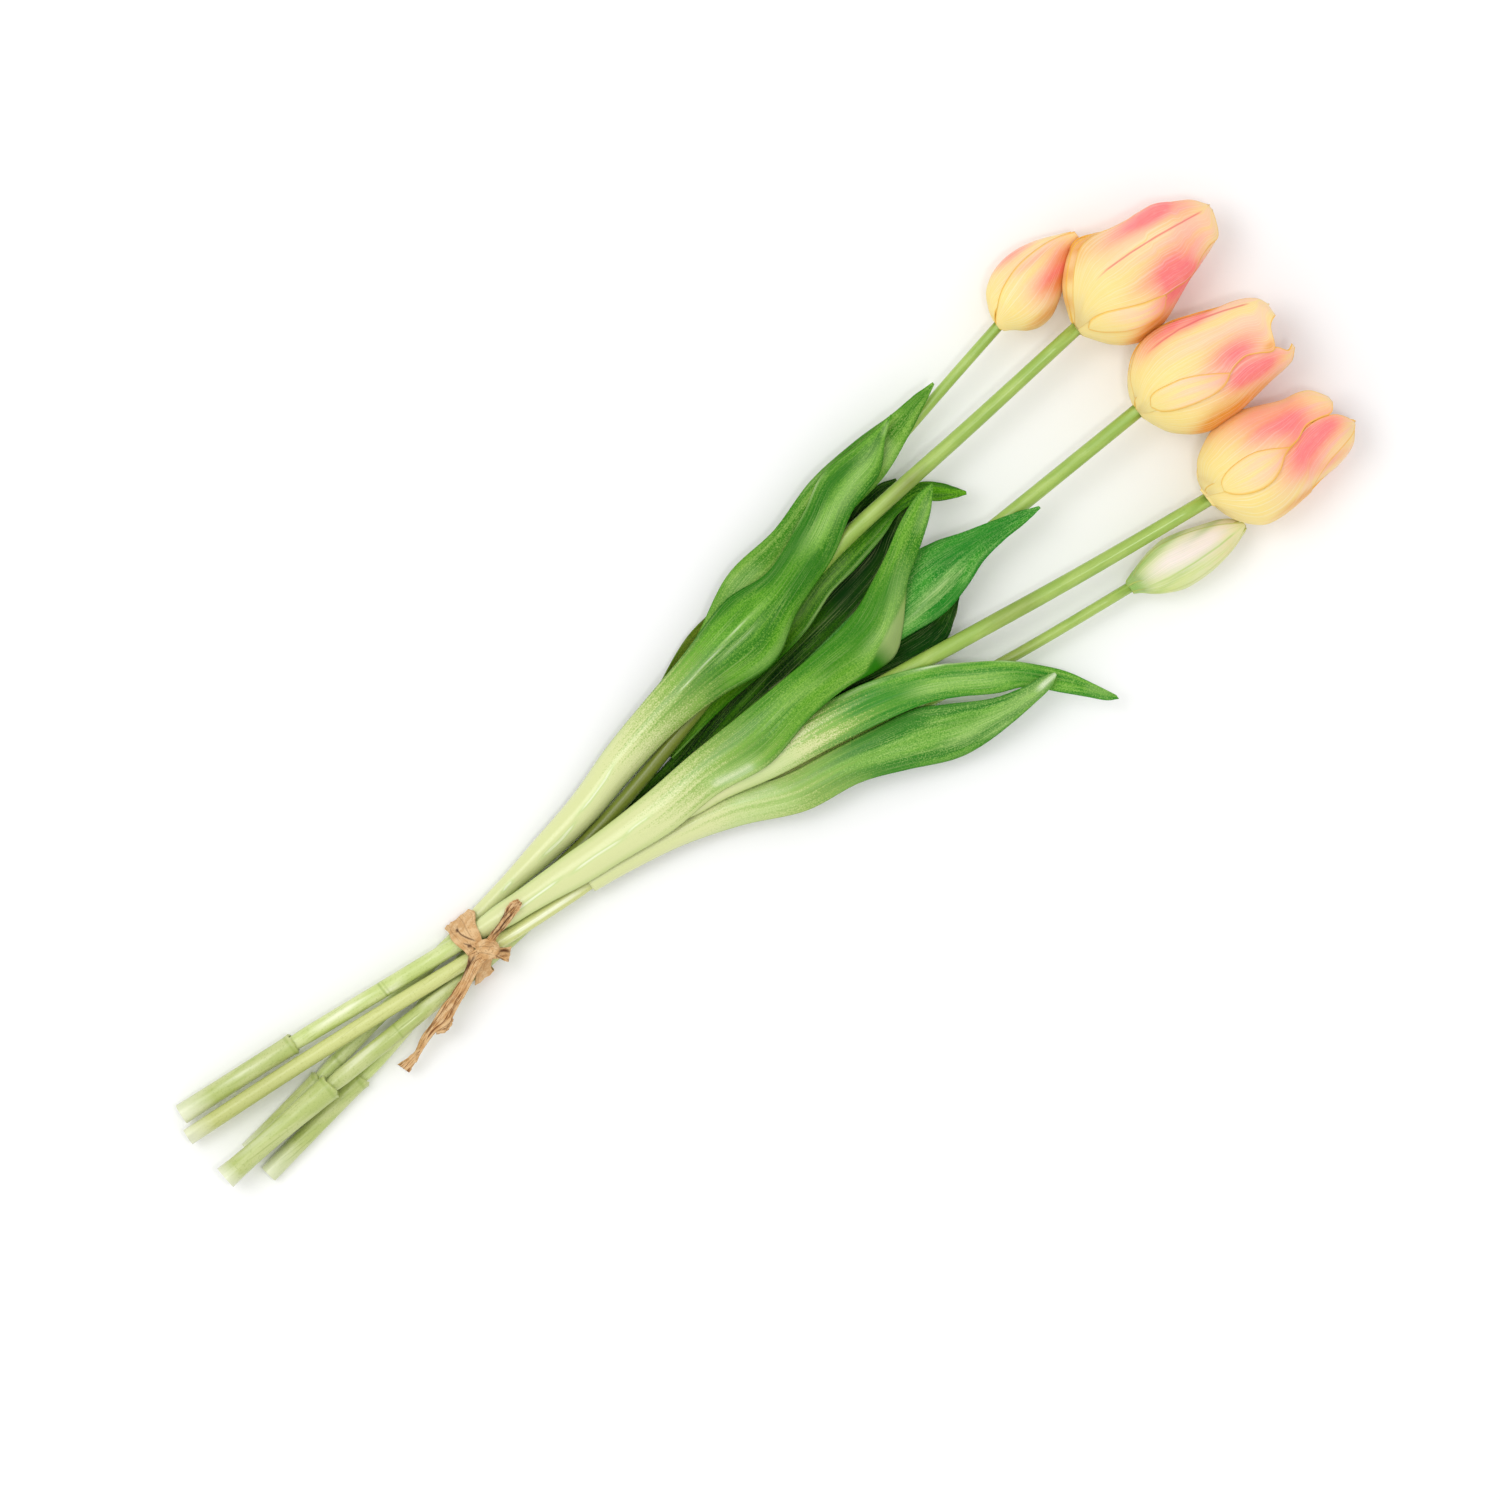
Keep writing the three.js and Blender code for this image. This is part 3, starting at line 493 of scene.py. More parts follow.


# %% Pale root and flank of a leaf, and its whitish sprays and painted highlights
PALE_BASE = seen(0.845, 0.868, 0.62)
SOFT_GREEN = seen(0.60, 0.72, 0.34)
FLANK_GREEN = seen(0.60, 0.69, 0.43)
EDGE_GREEN = seen(0.68, 0.77, 0.42)
LIGHT_SPRAY_AND_HIGHLIGHT = seen(0.70, 0.83, 0.50)
WHITE_SPRAY_AND_HIGHLIGHT = seen(0.93, 0.96, 0.84)
# How far the noises push the change from pale to green along the leaf, and how far its wax goes on
SWAY = 60
WAX_REACH = 20
ROOT_WAX = 0.9


def rooted(tree, green, fine, over, shifted, start, end):
    painted = layered(tree, PALE_BASE, [
        (shifted, start, (start + 2 * end) / 3, 0, 1, SOFT_GREEN),
        (shifted, (2 * start + end) / 3, end, 0, 1, green),
        (fine, 0.52, 0.70, 0, 0.2, PALE_BASE),
    ])
    lip = layered(tree, painted, [
        (over, 0.80, 1, 0, 0.55, EDGE_GREEN),
        (over, 0.20, 0, 0, 0.55, EDGE_GREEN),
    ])
    return layered(tree, painted, [(shifted, end, start, 0, 1, lip)])


def flank_green(tree, fine, along, deep):
    return layered(tree, SOFT_GREEN, [
        (along, 42, 56, 0, 1, FLANK_GREEN),
        (along, 62, 78, 0, 1, SOFT_GREEN),
        (fine, 0.45, 0.65, 0, 0.4, SOFT_GREEN),
        # Painted shadow darkens the flank towards the start of the fold
        (along, 58, 49, 0, 1, deep),
    ])


# %% Finish of the leaves
LEAF_NOISES = [
    ("UV", (1.6, 13, 1), 5, 0), ("UV", (9, 130, 1), 3, 3), ("UV", (4, 3.2, 1), 3, 7),
    ("Object", (2100, 2100, 2100), 3, 0),
]


def leaf_finish(name, greens, pale_end, green_start, seed, mirror):
    material, tree, shader = new_finish(name, roughness=0.5, mirror=mirror)
    streaks, fine, broad, speckle = noises(tree, seed, LEAF_NOISES)
    over = coordinate(tree, "UV", 1)
    along = calculated(tree, "DIVIDE", coordinate(tree, "Object", 0), MM)
    green = blade_green(tree, streaks, fine, broad, speckle, over, *greens)
    swaying = calculated(tree, "MULTIPLY", calculated(tree, "ADD", streaks, speckle), SWAY)
    shifted = calculated(tree, "ADD", along, swaying)
    painted = rooted(tree, green, fine, over, shifted, pale_end + SWAY, green_start + SWAY)
    painted = marked(tree, painted, {"flank": flank_green(tree, fine, along, greens[2])})
    # The whitish marks are partly sprayed colour and partly painted highlights
    spray_and_highlight = layered(tree, LIGHT_SPRAY_AND_HIGHLIGHT, [(noted(tree, "streak_and_highlight"), 0.45, 0.85, 0, 1, WHITE_SPRAY_AND_HIGHLIGHT)])
    painted = layered(tree, painted, [(fine, 0.36, 0.6, 0.35, 1, spray_and_highlight, "streak_and_highlight")])
    wax = remapped(tree, along, pale_end, green_start + WAX_REACH, ROOT_WAX, 0)
    tree.links.new(wax, shader.inputs["Coat Weight"])
    complete(tree, shader, painted, fine, strength=0.35, depth=0.3)
    return material


# %% Greens of the ten leaves
# The soft sky in the wax lifts red, green and blue by this much, so the paint is darker by as much
WAX_ADDS = (0.008, 0.008, 0.014)
DARKEST = 0.002
LEAF_MIRROR = 0.1
# Leaves deep inside the bunch see no sky to mirror
SHADED_MIRROR = 0.03
SHADED_LEAVES = ("leaf_3", "leaf_6", "leaf_10")
LEAF_SEED_STEP = 1.7
# Light, middle and deep green, then where the pale root ends and the full green starts, in mm
# The greens of leaf_6 and leaf_10, deep inside the bunch, are darkened as painted shade
LEAF_COLOURS = {
    "leaf_1": ((0.54, 0.73, 0.31), (0.36, 0.61, 0.17), (0.17, 0.44, 0.12), -42, 8),
    "leaf_2": ((0.62, 0.76, 0.38), (0.47, 0.67, 0.26), (0.24, 0.50, 0.14), -80, -20),
    "leaf_3": ((0.48, 0.71, 0.22), (0.34, 0.60, 0.10), (0.16, 0.40, 0.04), -90, -40),
    "leaf_4": ((0.57, 0.74, 0.33), (0.39, 0.62, 0.20), (0.19, 0.47, 0.12), -46, 9),
    "leaf_5": ((0.56, 0.76, 0.42), (0.25, 0.58, 0.20), (0.12, 0.48, 0.16), -60, 0),
    "leaf_6": ((0.22, 0.42, 0.09), (0.15, 0.35, 0.05), (0.08, 0.24, 0.02), -120, -70),
    "leaf_7": ((0.60, 0.77, 0.37), (0.42, 0.66, 0.24), (0.18, 0.51, 0.16), 2, 38),
    "leaf_8": ((0.63, 0.78, 0.42), (0.44, 0.66, 0.27), (0.20, 0.48, 0.17), -36, 30),
    "leaf_9": ((0.56, 0.62, 0.20), (0.42, 0.52, 0.15), (0.27, 0.40, 0.11), -120, -70),
    "leaf_10": ((0.30, 0.50, 0.10), (0.23, 0.44, 0.07), (0.07, 0.22, 0.01), -120, -80),
}


def darker(colour):
    return (*(max(value - added, DARKEST) for value, added in zip(colour, WAX_ADDS)), 1)


leaf_paints = {}
for number, (node, (*greens, pale_end, green_start)) in enumerate(LEAF_COLOURS.items()):
    greens = [darker(seen(*green)) for green in greens]
    mirror = SHADED_MIRROR if node in SHADED_LEAVES else LEAF_MIRROR
    seed = LEAF_SEED_STEP * number
    leaf_paints[node] = leaf_finish("green" + node[4:], greens, pale_end, green_start, seed, mirror)
print(len(leaf_paints), "greens mixed")

# %% [markdown]
# One leaf is folded along a ridge, so that its outer flank turns its pale underside up. More sections
# could bend the blade this far, but they would round the ridge off. So the fold is a line seen from
# above, and what lies beyond it drops away.

# %% Fold of the middle leaf
FOLD = [
    (38, -11.4), (45, -10.6), (50, -8.6), (55, -6.2), (60, -4), (65, -2), (70, 0.6), (75, 3.9), (80, 7.2),
]
# How far the flank drops for each mm beyond the line, and where it turns pale, in mm
FOLD_DROP = 0.75
FLANK_FROM = 0.1
FLANK_TO = 1.2
# Before and after the fold its line passes below every point
FAR_BELOW = -99


def fold_flank(blade):
    points = points_of(blade)
    line = np.interp(points[:, 0], *np.transpose(FOLD), left=FAR_BELOW, right=FAR_BELOW)
    beyond = np.maximum(line - points[:, 1], 0)
    points[:, 2] -= FOLD_DROP * beyond
    move_points(blade, points)
    note_values(blade, "flank", ease(beyond, FLANK_FROM, FLANK_TO))


# %% [markdown]
# The leaves look sprayed by hand: whitish threads along the ribs and edges, which are partly
# sprayed colour and partly painted highlights, and dark green where a leaf turns away, which is
# painted shade. Such marks could be painted on a picture and wrapped round the leaf. Here each mark
# is a line over the leaf with a half width and a strength, noted at the points, so it stays in its
# place when the leaf changes.

# %% Whitish marks on the upper leaves: sprayed threads and painted highlights
PALE_MARKS = {
    "leaf_1": [
        ([(-100, 5.6), (-96, 6.5), (-92, 7)], 0.5, 0.9),
        ([(-84, 6.6), (-72, 7.6), (-61, 9.8)], 0.5, 0.95),
        ([(-66, 10.4), (-56, 12), (-47, 14.6), (-38, 18.3)], 0.5, 0.9),
        ([(-22, 18.8), (-8, 22.6), (20, 27.2), (38.8, 28.9)], 0.4, 0.85),
        ([(4, 22), (18, 23.2), (31, 24.6)], 0.4, 0.7), ([(0, 23.5), (20, 25.5), (38, 27.5)], 1.6, 0.12),
        ([(52, 41), (60, 44.2), (72, 50), (79, 51)], 0.7, 0.7),
        ([(46, 32.6), (64, 37), (80, 41.6), (104, 50.5)], 2.3, 0.5),
        ([(8, 13.5), (20, 12.6), (28, 13.5), (38, 19)], 1.3, 0.3), ([(98, 47.6), (104, 52)], 0.8, 0.5),
    ],
    "leaf_2": [
        ([(90, 40), (102, 46)], 2.2, 0.5), ([(25, 40), (32, 43)], 2.5, 0.2),
        ([(18, 34), (30, 38), (42, 40)], 2.4, 0.4), ([(60, 50), (85, 52.4)], 0.8, 0.25),
    ],
    "leaf_3": [
        ([(26, 11), (38, 13), (52, 17.6), (65, 19.6), (78, 22), (90, 25)], 0.4, 0.5),
        ([(30, 15), (50, 20.5), (70, 24.5)], 1.4, 0.25),
    ],
}

# %% Whitish marks on the other leaves: sprayed threads and painted highlights
PALE_MARKS |= {
    "leaf_4": [
        ([(-104, -2), (-90, -2.3), (-76, -2.8)], 0.5, 0.9),
        ([(-80, -3.4), (-66, -4), (-50, -5.6)], 0.5, 0.95),
        ([(-56, -4.6), (-48, -4.2), (-40, -5)], 0.5, 0.8),
        ([(-26, -7.4), (-12, -11.4), (2, -14)], 2.6, 0.72),
        ([(40, -8), (60, -4), (72, 5), (84, 13)], 2.2, 0.35), ([(86, 14), (100, 23)], 1.5, 0.3),
        ([(-8, -2), (20, -3), (40, -4)], 1.6, 0.2),
    ],
    "leaf_5": [([(60, -8), (78, -4.2), (96, -2.6)], 1.5, 0.55), ([(70, -7), (90, -5.6)], 0.6, 0.35)],
    "leaf_7": [
        ([(-18, -12), (0, -17.5), (14, -20)], 2.6, 0.55),
        ([(28, -12.4), (40, -14.4), (52, -18.4)], 0.6, 0.6),
        ([(46, -15.6), (68, -25.5), (80, -33), (98, -49)], 0.6, 0.8),
        ([(46, -23), (66, -32), (86, -45)], 2, 0.5), ([(100, -60), (107, -70)], 1.4, 0.3),
    ],
    "leaf_8": [
        ([(-24, -17), (-10, -21), (4, -25.6)], 2.6, 0.6),
        ([(-30, -22), (-12, -27), (6, -33)], 2.2, 0.5),
        ([(44, -44.5), (60, -49.3), (80, -52), (98, -52)], 2, 0.5),
        ([(84, -52.2), (104, -51)], 1.2, 0.8), ([(60, -53.5), (76, -54.6)], 0.7, 0.4),
    ],
}
print_total(PALE_MARKS, "whitish marks")

# %% Dark marks of painted shade on the upper leaves
SHADE_MARKS = {
    "leaf_1": [
        ([(12, 34), (28, 36), (44, 35.6)], 1.2, 0.75),
        ([(42, 34.6), (60, 41), (78, 47), (97, 50)], 1.6, 0.75),
        ([(-6, 16), (0, 15.5), (8, 19)], 2.4, 0.7), ([(40, 21), (60, 28), (78, 36)], 1.3, 0.45),
        ([(14, 29), (34, 32.4)], 1.4, 0.4), ([(30, 31), (50, 36.4), (64, 41)], 2.2, 0.85),
        ([(36, 25), (50, 28.5), (62, 31)], 3, 0.8),
    ],
    "leaf_2": [
        ([(70, 51.4), (92, 52.6), (104, 52.4)], 0.7, 0.8), ([(106, 51.6), (123, 51.8)], 1.6, 0.8),
    ],
    "leaf_3": [
        ([(36, 27), (60, 31), (92, 29)], 2.4, 0.75),
        ([(96, 28.6), (101, 26), (105, 22.3), (109, 17.2)], 0.5, 0.9),
        ([(70, 24), (80, 26.5), (92, 26.5)], 1.8, 0.8),
    ],
}

# %% Dark marks of painted shade on the other leaves
SHADE_MARKS |= {
    "leaf_4": [
        ([(16, 2.6), (48, 3.8), (60, 7), (72, 12.6)], 2, 0.75),
        ([(26, -1.5), (46, -2), (60, -1)], 3, 0.7),
        ([(42, -0.5), (56, 1.6), (68, 6), (80, 12)], 2.4, 0.9),
        ([(-5, -14.8), (4, -15.4), (13, -15)], 0.5, 0.7), ([(24, -11.4), (36, -10.8)], 1, 0.45),
    ],
    "leaf_5": [
        ([(80, 3), (98, 2.4), (122, -2.4)], 2.6, 0.75), ([(72, -9.6), (92, -8.8)], 1.4, 0.8),
        ([(60, 4), (80, 7.5)], 2.4, 0.45),
    ],
    "leaf_6": [([(50, -15), (64, -15), (80, -12)], 3.4, 0.8)],
    "leaf_7": [
        ([(24, -16), (40, -20.6), (50, -25), (62, -29.5)], 3.4, 0.9),
        ([(58, -21.6), (74, -32)], 1.5, 0.35), ([(82, -43), (94, -50)], 2.2, 0.5),
        ([(10, -21), (30, -26.6), (48, -31)], 0.8, 0.4),
    ],
    "leaf_8": [
        ([(16, -25.6), (36, -29.6), (56, -36)], 2.8, 0.85),
        ([(22, -38), (30, -43.4), (42, -48)], 2, 0.7), ([(-10, -30.5), (0, -35), (12, -38)], 1, 0.6),
        ([(52, -41), (70, -47.6)], 1.4, 0.35),
    ],
    "leaf_10": [([(38, 10), (56, 14), (72, 20), (92, 28)], 6, 0.95)],
}
print_total(SHADE_MARKS, "dark marks")


# %% Note the marks on a leaf
# A mark fades over this share of its length at both ends, and over this many half widths sideways
FADE = 0.3
BLUR = 2.2


def along_and_off(points, line):
    line = np.array(line, dtype=float)
    lengths = np.linalg.norm(np.diff(line, axis=0), axis=1)
    nearest, along = np.full(len(points), np.inf), np.zeros(len(points))
    for i, start in enumerate(line[:-1]):
        run = line[i + 1] - start
        share = np.clip((points[:, :2] - start) @ run / (run @ run), 0, 1)
        off = np.linalg.norm(points[:, :2] - start - share[:, None] * run, axis=1)
        along = np.where(off < nearest, lengths[:i].sum() + share * lengths[i], along)
        nearest = np.minimum(nearest, off)
    return along / lengths.sum(), nearest


def note_marks(piece, name, marks):
    points = points_of(piece)
    clear = np.ones(len(points))
    for line, half_width, strength in marks:
        share, off = along_and_off(points, line)
        ends = ease(share, 0, FADE) * ease(1 - share, 0, FADE)
        clear *= 1 - strength * ends * (1 - ease(off, 0, BLUR * half_width))
    note_values(piece, name, 1 - clear)


# %% Shape the ten leaves
LEAF_GRID = (150, 30)
LEAF_THICKNESS = 0.7

for node, sections in LEAVES.items():
    ripple = RIPPLES.get(node, SMALL_RIPPLE)
    blade = sheet_piece("blade" + node[4:], LEAF_GRID, bent_blade, sections, ripple)
    note_marks(blade, "streak_and_highlight", PALE_MARKS.get(node, []))
    note_marks(blade, "shade", SHADE_MARKS.get(node, []))
    if node == "leaf_4":
        fold_flank(blade)
    thicken(blade, LEAF_THICKNESS)
    settle(blade, node, "leaf", leaf_paints[node])

# %% [markdown]
# The stems and the sleeves on their lower ends are round rods with slow bends. They could be tubes
# along new curves, but each is a copy of its solid, because that already has the right bends. The
# copy's loose triangles are merged into one surface, its sharp end rims are marked, and a
# subdivision rounds the rest. The stems are fresh yellow-green with fine lengthwise fibres and a
# waxy bloom, and paler towards the cut ends.

# %% Paints of the stems and sleeves: light, middle and deep
FRESH_PAINT = (seen(0.64, 0.745, 0.35), seen(0.58, 0.705, 0.29), seen(0.52, 0.65, 0.24))
LOW_PAINT = (seen(0.82, 0.86, 0.60), seen(0.76, 0.82, 0.50), seen(0.62, 0.70, 0.35))
SLEEVE_PAINT = (seen(0.75, 0.785, 0.52), seen(0.69, 0.745, 0.43), seen(0.56, 0.63, 0.30))
KHAKI_PAINT = (seen(0.80, 0.82, 0.52), seen(0.80, 0.82, 0.52), seen(0.67, 0.69, 0.37))
# Paints of the marks on the rods: painted shade, painted highlights, rings and frayed cut ends
ROD_MARKS = {
    "shade": seen(0.46, 0.50, 0.17),
    "streak_and_highlight": seen(0.96, 0.97, 0.86),
    "ring": seen(0.58, 0.66, 0.30),
    "frayed": seen(0.93, 0.94, 0.84),
}
print("the freshest green is", [round(float(value), 3) for value in FRESH_PAINT[1][:3]])

# %% Finish of the stems and sleeves
ROD_NOISES = [
    ("Object", (25, 1400, 1400), 3, 0), ("Object", (70, 260, 260), 4, 2),
    ("Object", (1500, 1500, 1500), 2, 4),
]
# A stem turns to a fresh green over this length, in mm
FRESH_REACH = 60


def stem_finish(name, paints, seed, fresh_from=None):
    material, tree, shader = new_finish(name, roughness=0.45, coat=0.5, mirror=0.3)
    fibres, waxy, grain = noises(tree, seed, ROD_NOISES)

    def fibrous(light, middle, deep, fibres_from, fibre_strength, grain_strength):
        return layered(tree, middle, [
            (waxy, 0.38, 0.62, 0, 1, light),
            (fibres, fibres_from, 0.75, 0, fibre_strength, deep),
            (grain, 0.45, 0.30, 0, grain_strength, deep),
        ])

    colour = fibrous(*paints, 0.55, 0.5, 0.4)
    if fresh_from is not None:
        fresh = fibrous(*FRESH_PAINT, 0.52, 0.3, 0.25)
        start, end = fresh_from * MM, (fresh_from + FRESH_REACH) * MM
        colour = layered(tree, colour, [(coordinate(tree, "Object", 0), start, end, 0, 1, fresh)])
    complete(tree, shader, marked(tree, colour, ROD_MARKS), fibres, strength=0.25, depth=0.15)
    return material


# %% [markdown]
# The stems carry the marks of grown ones: thin rings where a leaf once clasped. They also carry
# painted highlights along their glossy sides, and painted olive shade where a stem runs in under the
# leaves. The rings are too thin for real grooves at this distance, so they are noted at the points
# and painted, with rounds of points cut in for them. The sleeves end in a torn collar, which is real
# shape, because it shows against the stem.

# %% Painted highlights and painted shade on the stems
# Painted highlights along the glossy sides of the stems and sleeves
STEM_HIGHLIGHT_MARKS = {
    "stem_5": [([(-112, -7), (-100, -8.3), (-88, -9.3), (-72, -10.6)], 0.45, 1)],
    "stem_4": [
        ([(-178, 8.4), (-166, 7.2), (-156, 6)], 0.5, 0.8), ([(-152, 3.4), (-144, 2.6)], 0.5, 0.7),
    ],
    "stem_3": [([(-178, -8.6), (-160, -8.2)], 0.5, 0.6), ([(-146, -8), (-128, -8)], 0.5, 0.5)],
    "sleeve_4": [([(-214, 12.8), (-196, 10.6)], 0.6, 0.4)],
    "sleeve_3": [([(-226, -10), (-204, -9)], 0.6, 0.35)],
}
# Painted olive shade where a stem runs in under the leaves, and a faint darkening towards the cut end of
# the fifth stem
STEM_SHADE_MARKS = {
    "stem_2": [
        ([(-100, -0.8), (-50, 4.2), (-20, 11), (16, 20)], 3.4, 0.95),
        ([(84, 28.6), (92, 29.8), (98, 30.8), (104, 31)], 1.5, 0.75),
    ],
    "stem_4": [([(86, -24), (96, -25.6), (110, -28)], 2.6, 0.4)],
    "stem_5": [
        ([(72, -35), (84, -37.4), (96, -39)], 2.4, 0.6),
        ([(-250, 6), (-225, 4.8), (-200, 4), (-180, 3)], 3.5, 0.2),
    ],
}
print_total(STEM_HIGHLIGHT_MARKS, "painted highlights")
print_total(STEM_SHADE_MARKS, "marks of painted shade")

# %% Rings on the stems, as x in mm, half width and strength
# A ring is full within this many half widths, and fades out at this many
RING_FULL = 0.4
RING_END = 2
RINGS = {
    "stem_4": [(-151, 0.35, 0.7), (-149.6, 0.3, 0.4)],
    "stem_3": [(-155.5, 0.3, 0.7)],
    "stem_1": [(-178, 0.5, 0.5)],
    "sleeve_3": [(-186.4, 0.5, 0.6)],
    "sleeve_4": [(-187.6, 0.5, 0.6)],
    "sleeve_2": [(-176.6, 0.5, 0.6)],
    "sleeve_1": [(-188, 0.5, 0.5)],
}


def note_rings(piece, x, rings):
    clear = np.ones(len(x))
    for place, half_width, strength in rings:
        fading = ease(np.abs(x - place), RING_FULL * half_width, RING_END * half_width)
        clear *= 1 - strength * (1 - fading)
    note_values(piece, "ring", 1 - clear)


print_total(RINGS, "rings")

# %% Tear the collar of a sleeve
# Height of the teeth and the length of collar that they pull along, in mm
TEETH = 0.8
COLLAR_REACH = 1.2


def tear_collar(piece, points, number):
    end = points[:, 0].max()
    middle = points[points[:, 0] > end - COLLAR_REACH].mean(axis=0)
    bearing = np.arctan2(points[:, 2] - middle[2], points[:, 1] - middle[1])
    # Three broad teeth and seven fine ones go round, from another start on each sleeve
    bite = 0.5 * np.sin(3 * bearing + number) + 0.3 * np.sin(7 * bearing + 2.6 * number) - 0.2
    moved = points.copy()
    moved[:, 0] += TEETH * bite * ease(points[:, 0], end - COLLAR_REACH, end)
    move_points(piece, moved)


# %% Copy the solid of a rod and round it
SHARP_TURN = math.radians(38)
FLAT_TURN = math.radians(30)
SKEW = math.radians(60)
MERGED_WITHIN = 0.01 * MM


def rounded_copy(node, name):
    piece = bpy.data.objects.new(name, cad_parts[node].data.copy())
    bpy.context.scene.collection.objects.link(piece)
    choose(piece)
    bpy.ops.object.mode_set(mode="EDIT")
    bpy.ops.mesh.select_all(action="SELECT")
    bpy.ops.mesh.remove_doubles(threshold=MERGED_WITHIN)
    bpy.ops.mesh.tris_convert_to_quads(face_threshold=FLAT_TURN, shape_threshold=SKEW)
    bpy.ops.mesh.select_all(action="DESELECT")
    bpy.ops.mesh.edges_select_sharp(sharpness=SHARP_TURN)
    bpy.ops.transform.edge_crease(value=1)
    bpy.ops.object.mode_set(mode="OBJECT")
    bpy.ops.object.modifier_add(type="SUBSURF")
    smoother = piece.modifiers[-1]
    smoother.levels = smoother.render_levels = 1
    bpy.ops.object.modifier_apply(modifier=smoother.name)
    bpy.ops.object.shade_smooth_by_angle(angle=SHARP_TURN)
    return piece


# %% Add rounds of points beside the rings and note the marks of a rod
FRAYED_STRENGTH = 0.8


def add_rounds(rings):
    bpy.ops.object.mode_set(mode="EDIT")
    for x, half_width, _ in rings:
        for off in (-RING_END * half_width, 0, RING_END * half_width):
            bpy.ops.mesh.select_all(action="SELECT")
            bpy.ops.mesh.bisect(plane_co=((x + off) * MM, 0, 0), plane_no=(1, 0, 0))
    bpy.ops.object.mode_set(mode="OBJECT")


def mark_rod(piece, node, frayed_to):
    rings = RINGS.get(node, [])
    add_rounds(rings)
    points = points_of(piece)
    if node.startswith("sleeve"):
        tear_collar(piece, points, int(node[-1]) - 1)
    from_cut = points[:, 0] - points[:, 0].min()
    note_values(piece, "frayed", FRAYED_STRENGTH * ease(frayed_to - from_cut, 0, frayed_to))
    note_marks(piece, "streak_and_highlight", STEM_HIGHLIGHT_MARKS.get(node, []))
    note_marks(piece, "shade", STEM_SHADE_MARKS.get(node, []))
    note_rings(piece, points[:, 0], rings)


# %% Shape the stems and the sleeves
ROD_SEED_STEP = 3.1
# Paint of each rod, where it turns fresh green and how far its cut end is frayed, in mm
RODS = {
    "stem_1": (LOW_PAINT, -110, 1.6),
    "stem_2": (LOW_PAINT, -110, 1.6),
    "stem_3": (SLEEVE_PAINT, -110, 1.6),
    "stem_4": (LOW_PAINT, -110, 1.6),
    "stem_5": (KHAKI_PAINT, -20, 1.6),
    "sleeve_1": (SLEEVE_PAINT, None, 1.8),
    "sleeve_2": (SLEEVE_PAINT, None, 1.8),
    "sleeve_3": (SLEEVE_PAINT, None, 2),
    "sleeve_4": (SLEEVE_PAINT, None, 1.8),
}
for number, (node, (paints, fresh_from, frayed_to)) in enumerate(RODS.items()):
    rod = rounded_copy(node, "rod_" + node)
    mark_rod(rod, node, frayed_to)
    paint = stem_finish("skin_" + node, paints, ROD_SEED_STEP * number, fresh_from)
    settle(rod, node, node.split("_")[0], paint)

# %% [markdown]
# The bunch is tied with a strip of tan paper raffia: a crinkled strip that is wound round the stems,
# crossed in a knot and left with three loose tails. Simulated cloth would fall soft, but paper keeps
# sharp folds, so each run of the strip is a sheet like a leaf, with sharp pleats along it and small
# crumples. The turns follow a line drawn tight round the five stems where they cross.

# %% Tight line round the stems, as y and z in mm
# The stems where they cross, as y, z and radius
STEM_CIRCLES = [(4.2, 4.3, 2.9), (-2.6, 4.2, 2.8), (-9.5, 5.9, 2.8), (0.6, 9.9, 3.1), (-6.1, 10.9, 2.8)]
# The strip runs this far outside the stems, and its loop starts on top at this y, in mm
CLEARANCE = 0.8
LOOP_START = -6
CIRCLE_POINTS = 90
DIRECTIONS = 400
LOOP_POINTS = 500


def outer_line(cloud, middle):
    line = [cloud[cloud[:, 0].argmax()]]
    for direction in np.linspace(0, 2 * np.pi, DIRECTIONS, endpoint=False)[1:]:
        farthest = cloud[((cloud - middle) @ (np.cos(direction), np.sin(direction))).argmax()]
        if not np.allclose(farthest, line[-1]):
            line.append(farthest)
    return np.array(line[1:] + line[:1])[::-1]


def tight_loop():
    turn = np.linspace(0, 2 * np.pi, CIRCLE_POINTS, endpoint=False)
    circle = np.stack([np.cos(turn), np.sin(turn)], axis=1)
    cloud = np.vstack([np.array((y, z)) + (radius + CLEARANCE) * circle for y, z, radius in STEM_CIRCLES])
    middle = cloud.mean(axis=0)
    loop = outer_line(cloud, middle)
    top = np.where(loop[:, 1] > middle[1])[0]
    loop = np.roll(loop, -top[np.abs(loop[top, 0] - LOOP_START).argmin()], axis=0)
    loop = np.vstack([loop, loop[:1]])
    run = np.insert(np.cumsum(np.linalg.norm(np.diff(loop, axis=0), axis=1)), 0, 0)
    share = np.linspace(0, 1, LOOP_POINTS)
    return np.stack([np.interp(share, run / run[-1], column) for column in loop.T], axis=1)


LOOP = tight_loop()
print("the loop is", round(float(np.linalg.norm(np.diff(LOOP, axis=0), axis=1).sum()), 1), "mm long")

# %% Pleats and crumples of the paper
CRUMPLE = 0.22
# How far the edges of a turn run in and out, and how far a loose run is crowned, in mm
UNEVEN = 0.25
CROWN = 0.5
# Nothing of the paper lies lower than this, in mm
LOWEST_PAPER = 0.4


# Sharp folds run along the strip and wander a little, and small crumples run across them
def pleats(along, over, count, depth, seed):
    wander = 0.09 * np.sin(5 * along + seed) + 0.05 * np.sin(13 * along + 2.3 * seed)
    fold = np.abs(((over + wander) * count + 0.37 * seed) % 1 - 0.5) * 2
    crumple = np.sin(23 * along + 4 * over + seed) * np.sin(11 * over - 9 * along + 2 * seed)
    return depth * (fold**1.5 - 0.5) + CRUMPLE * depth * crumple


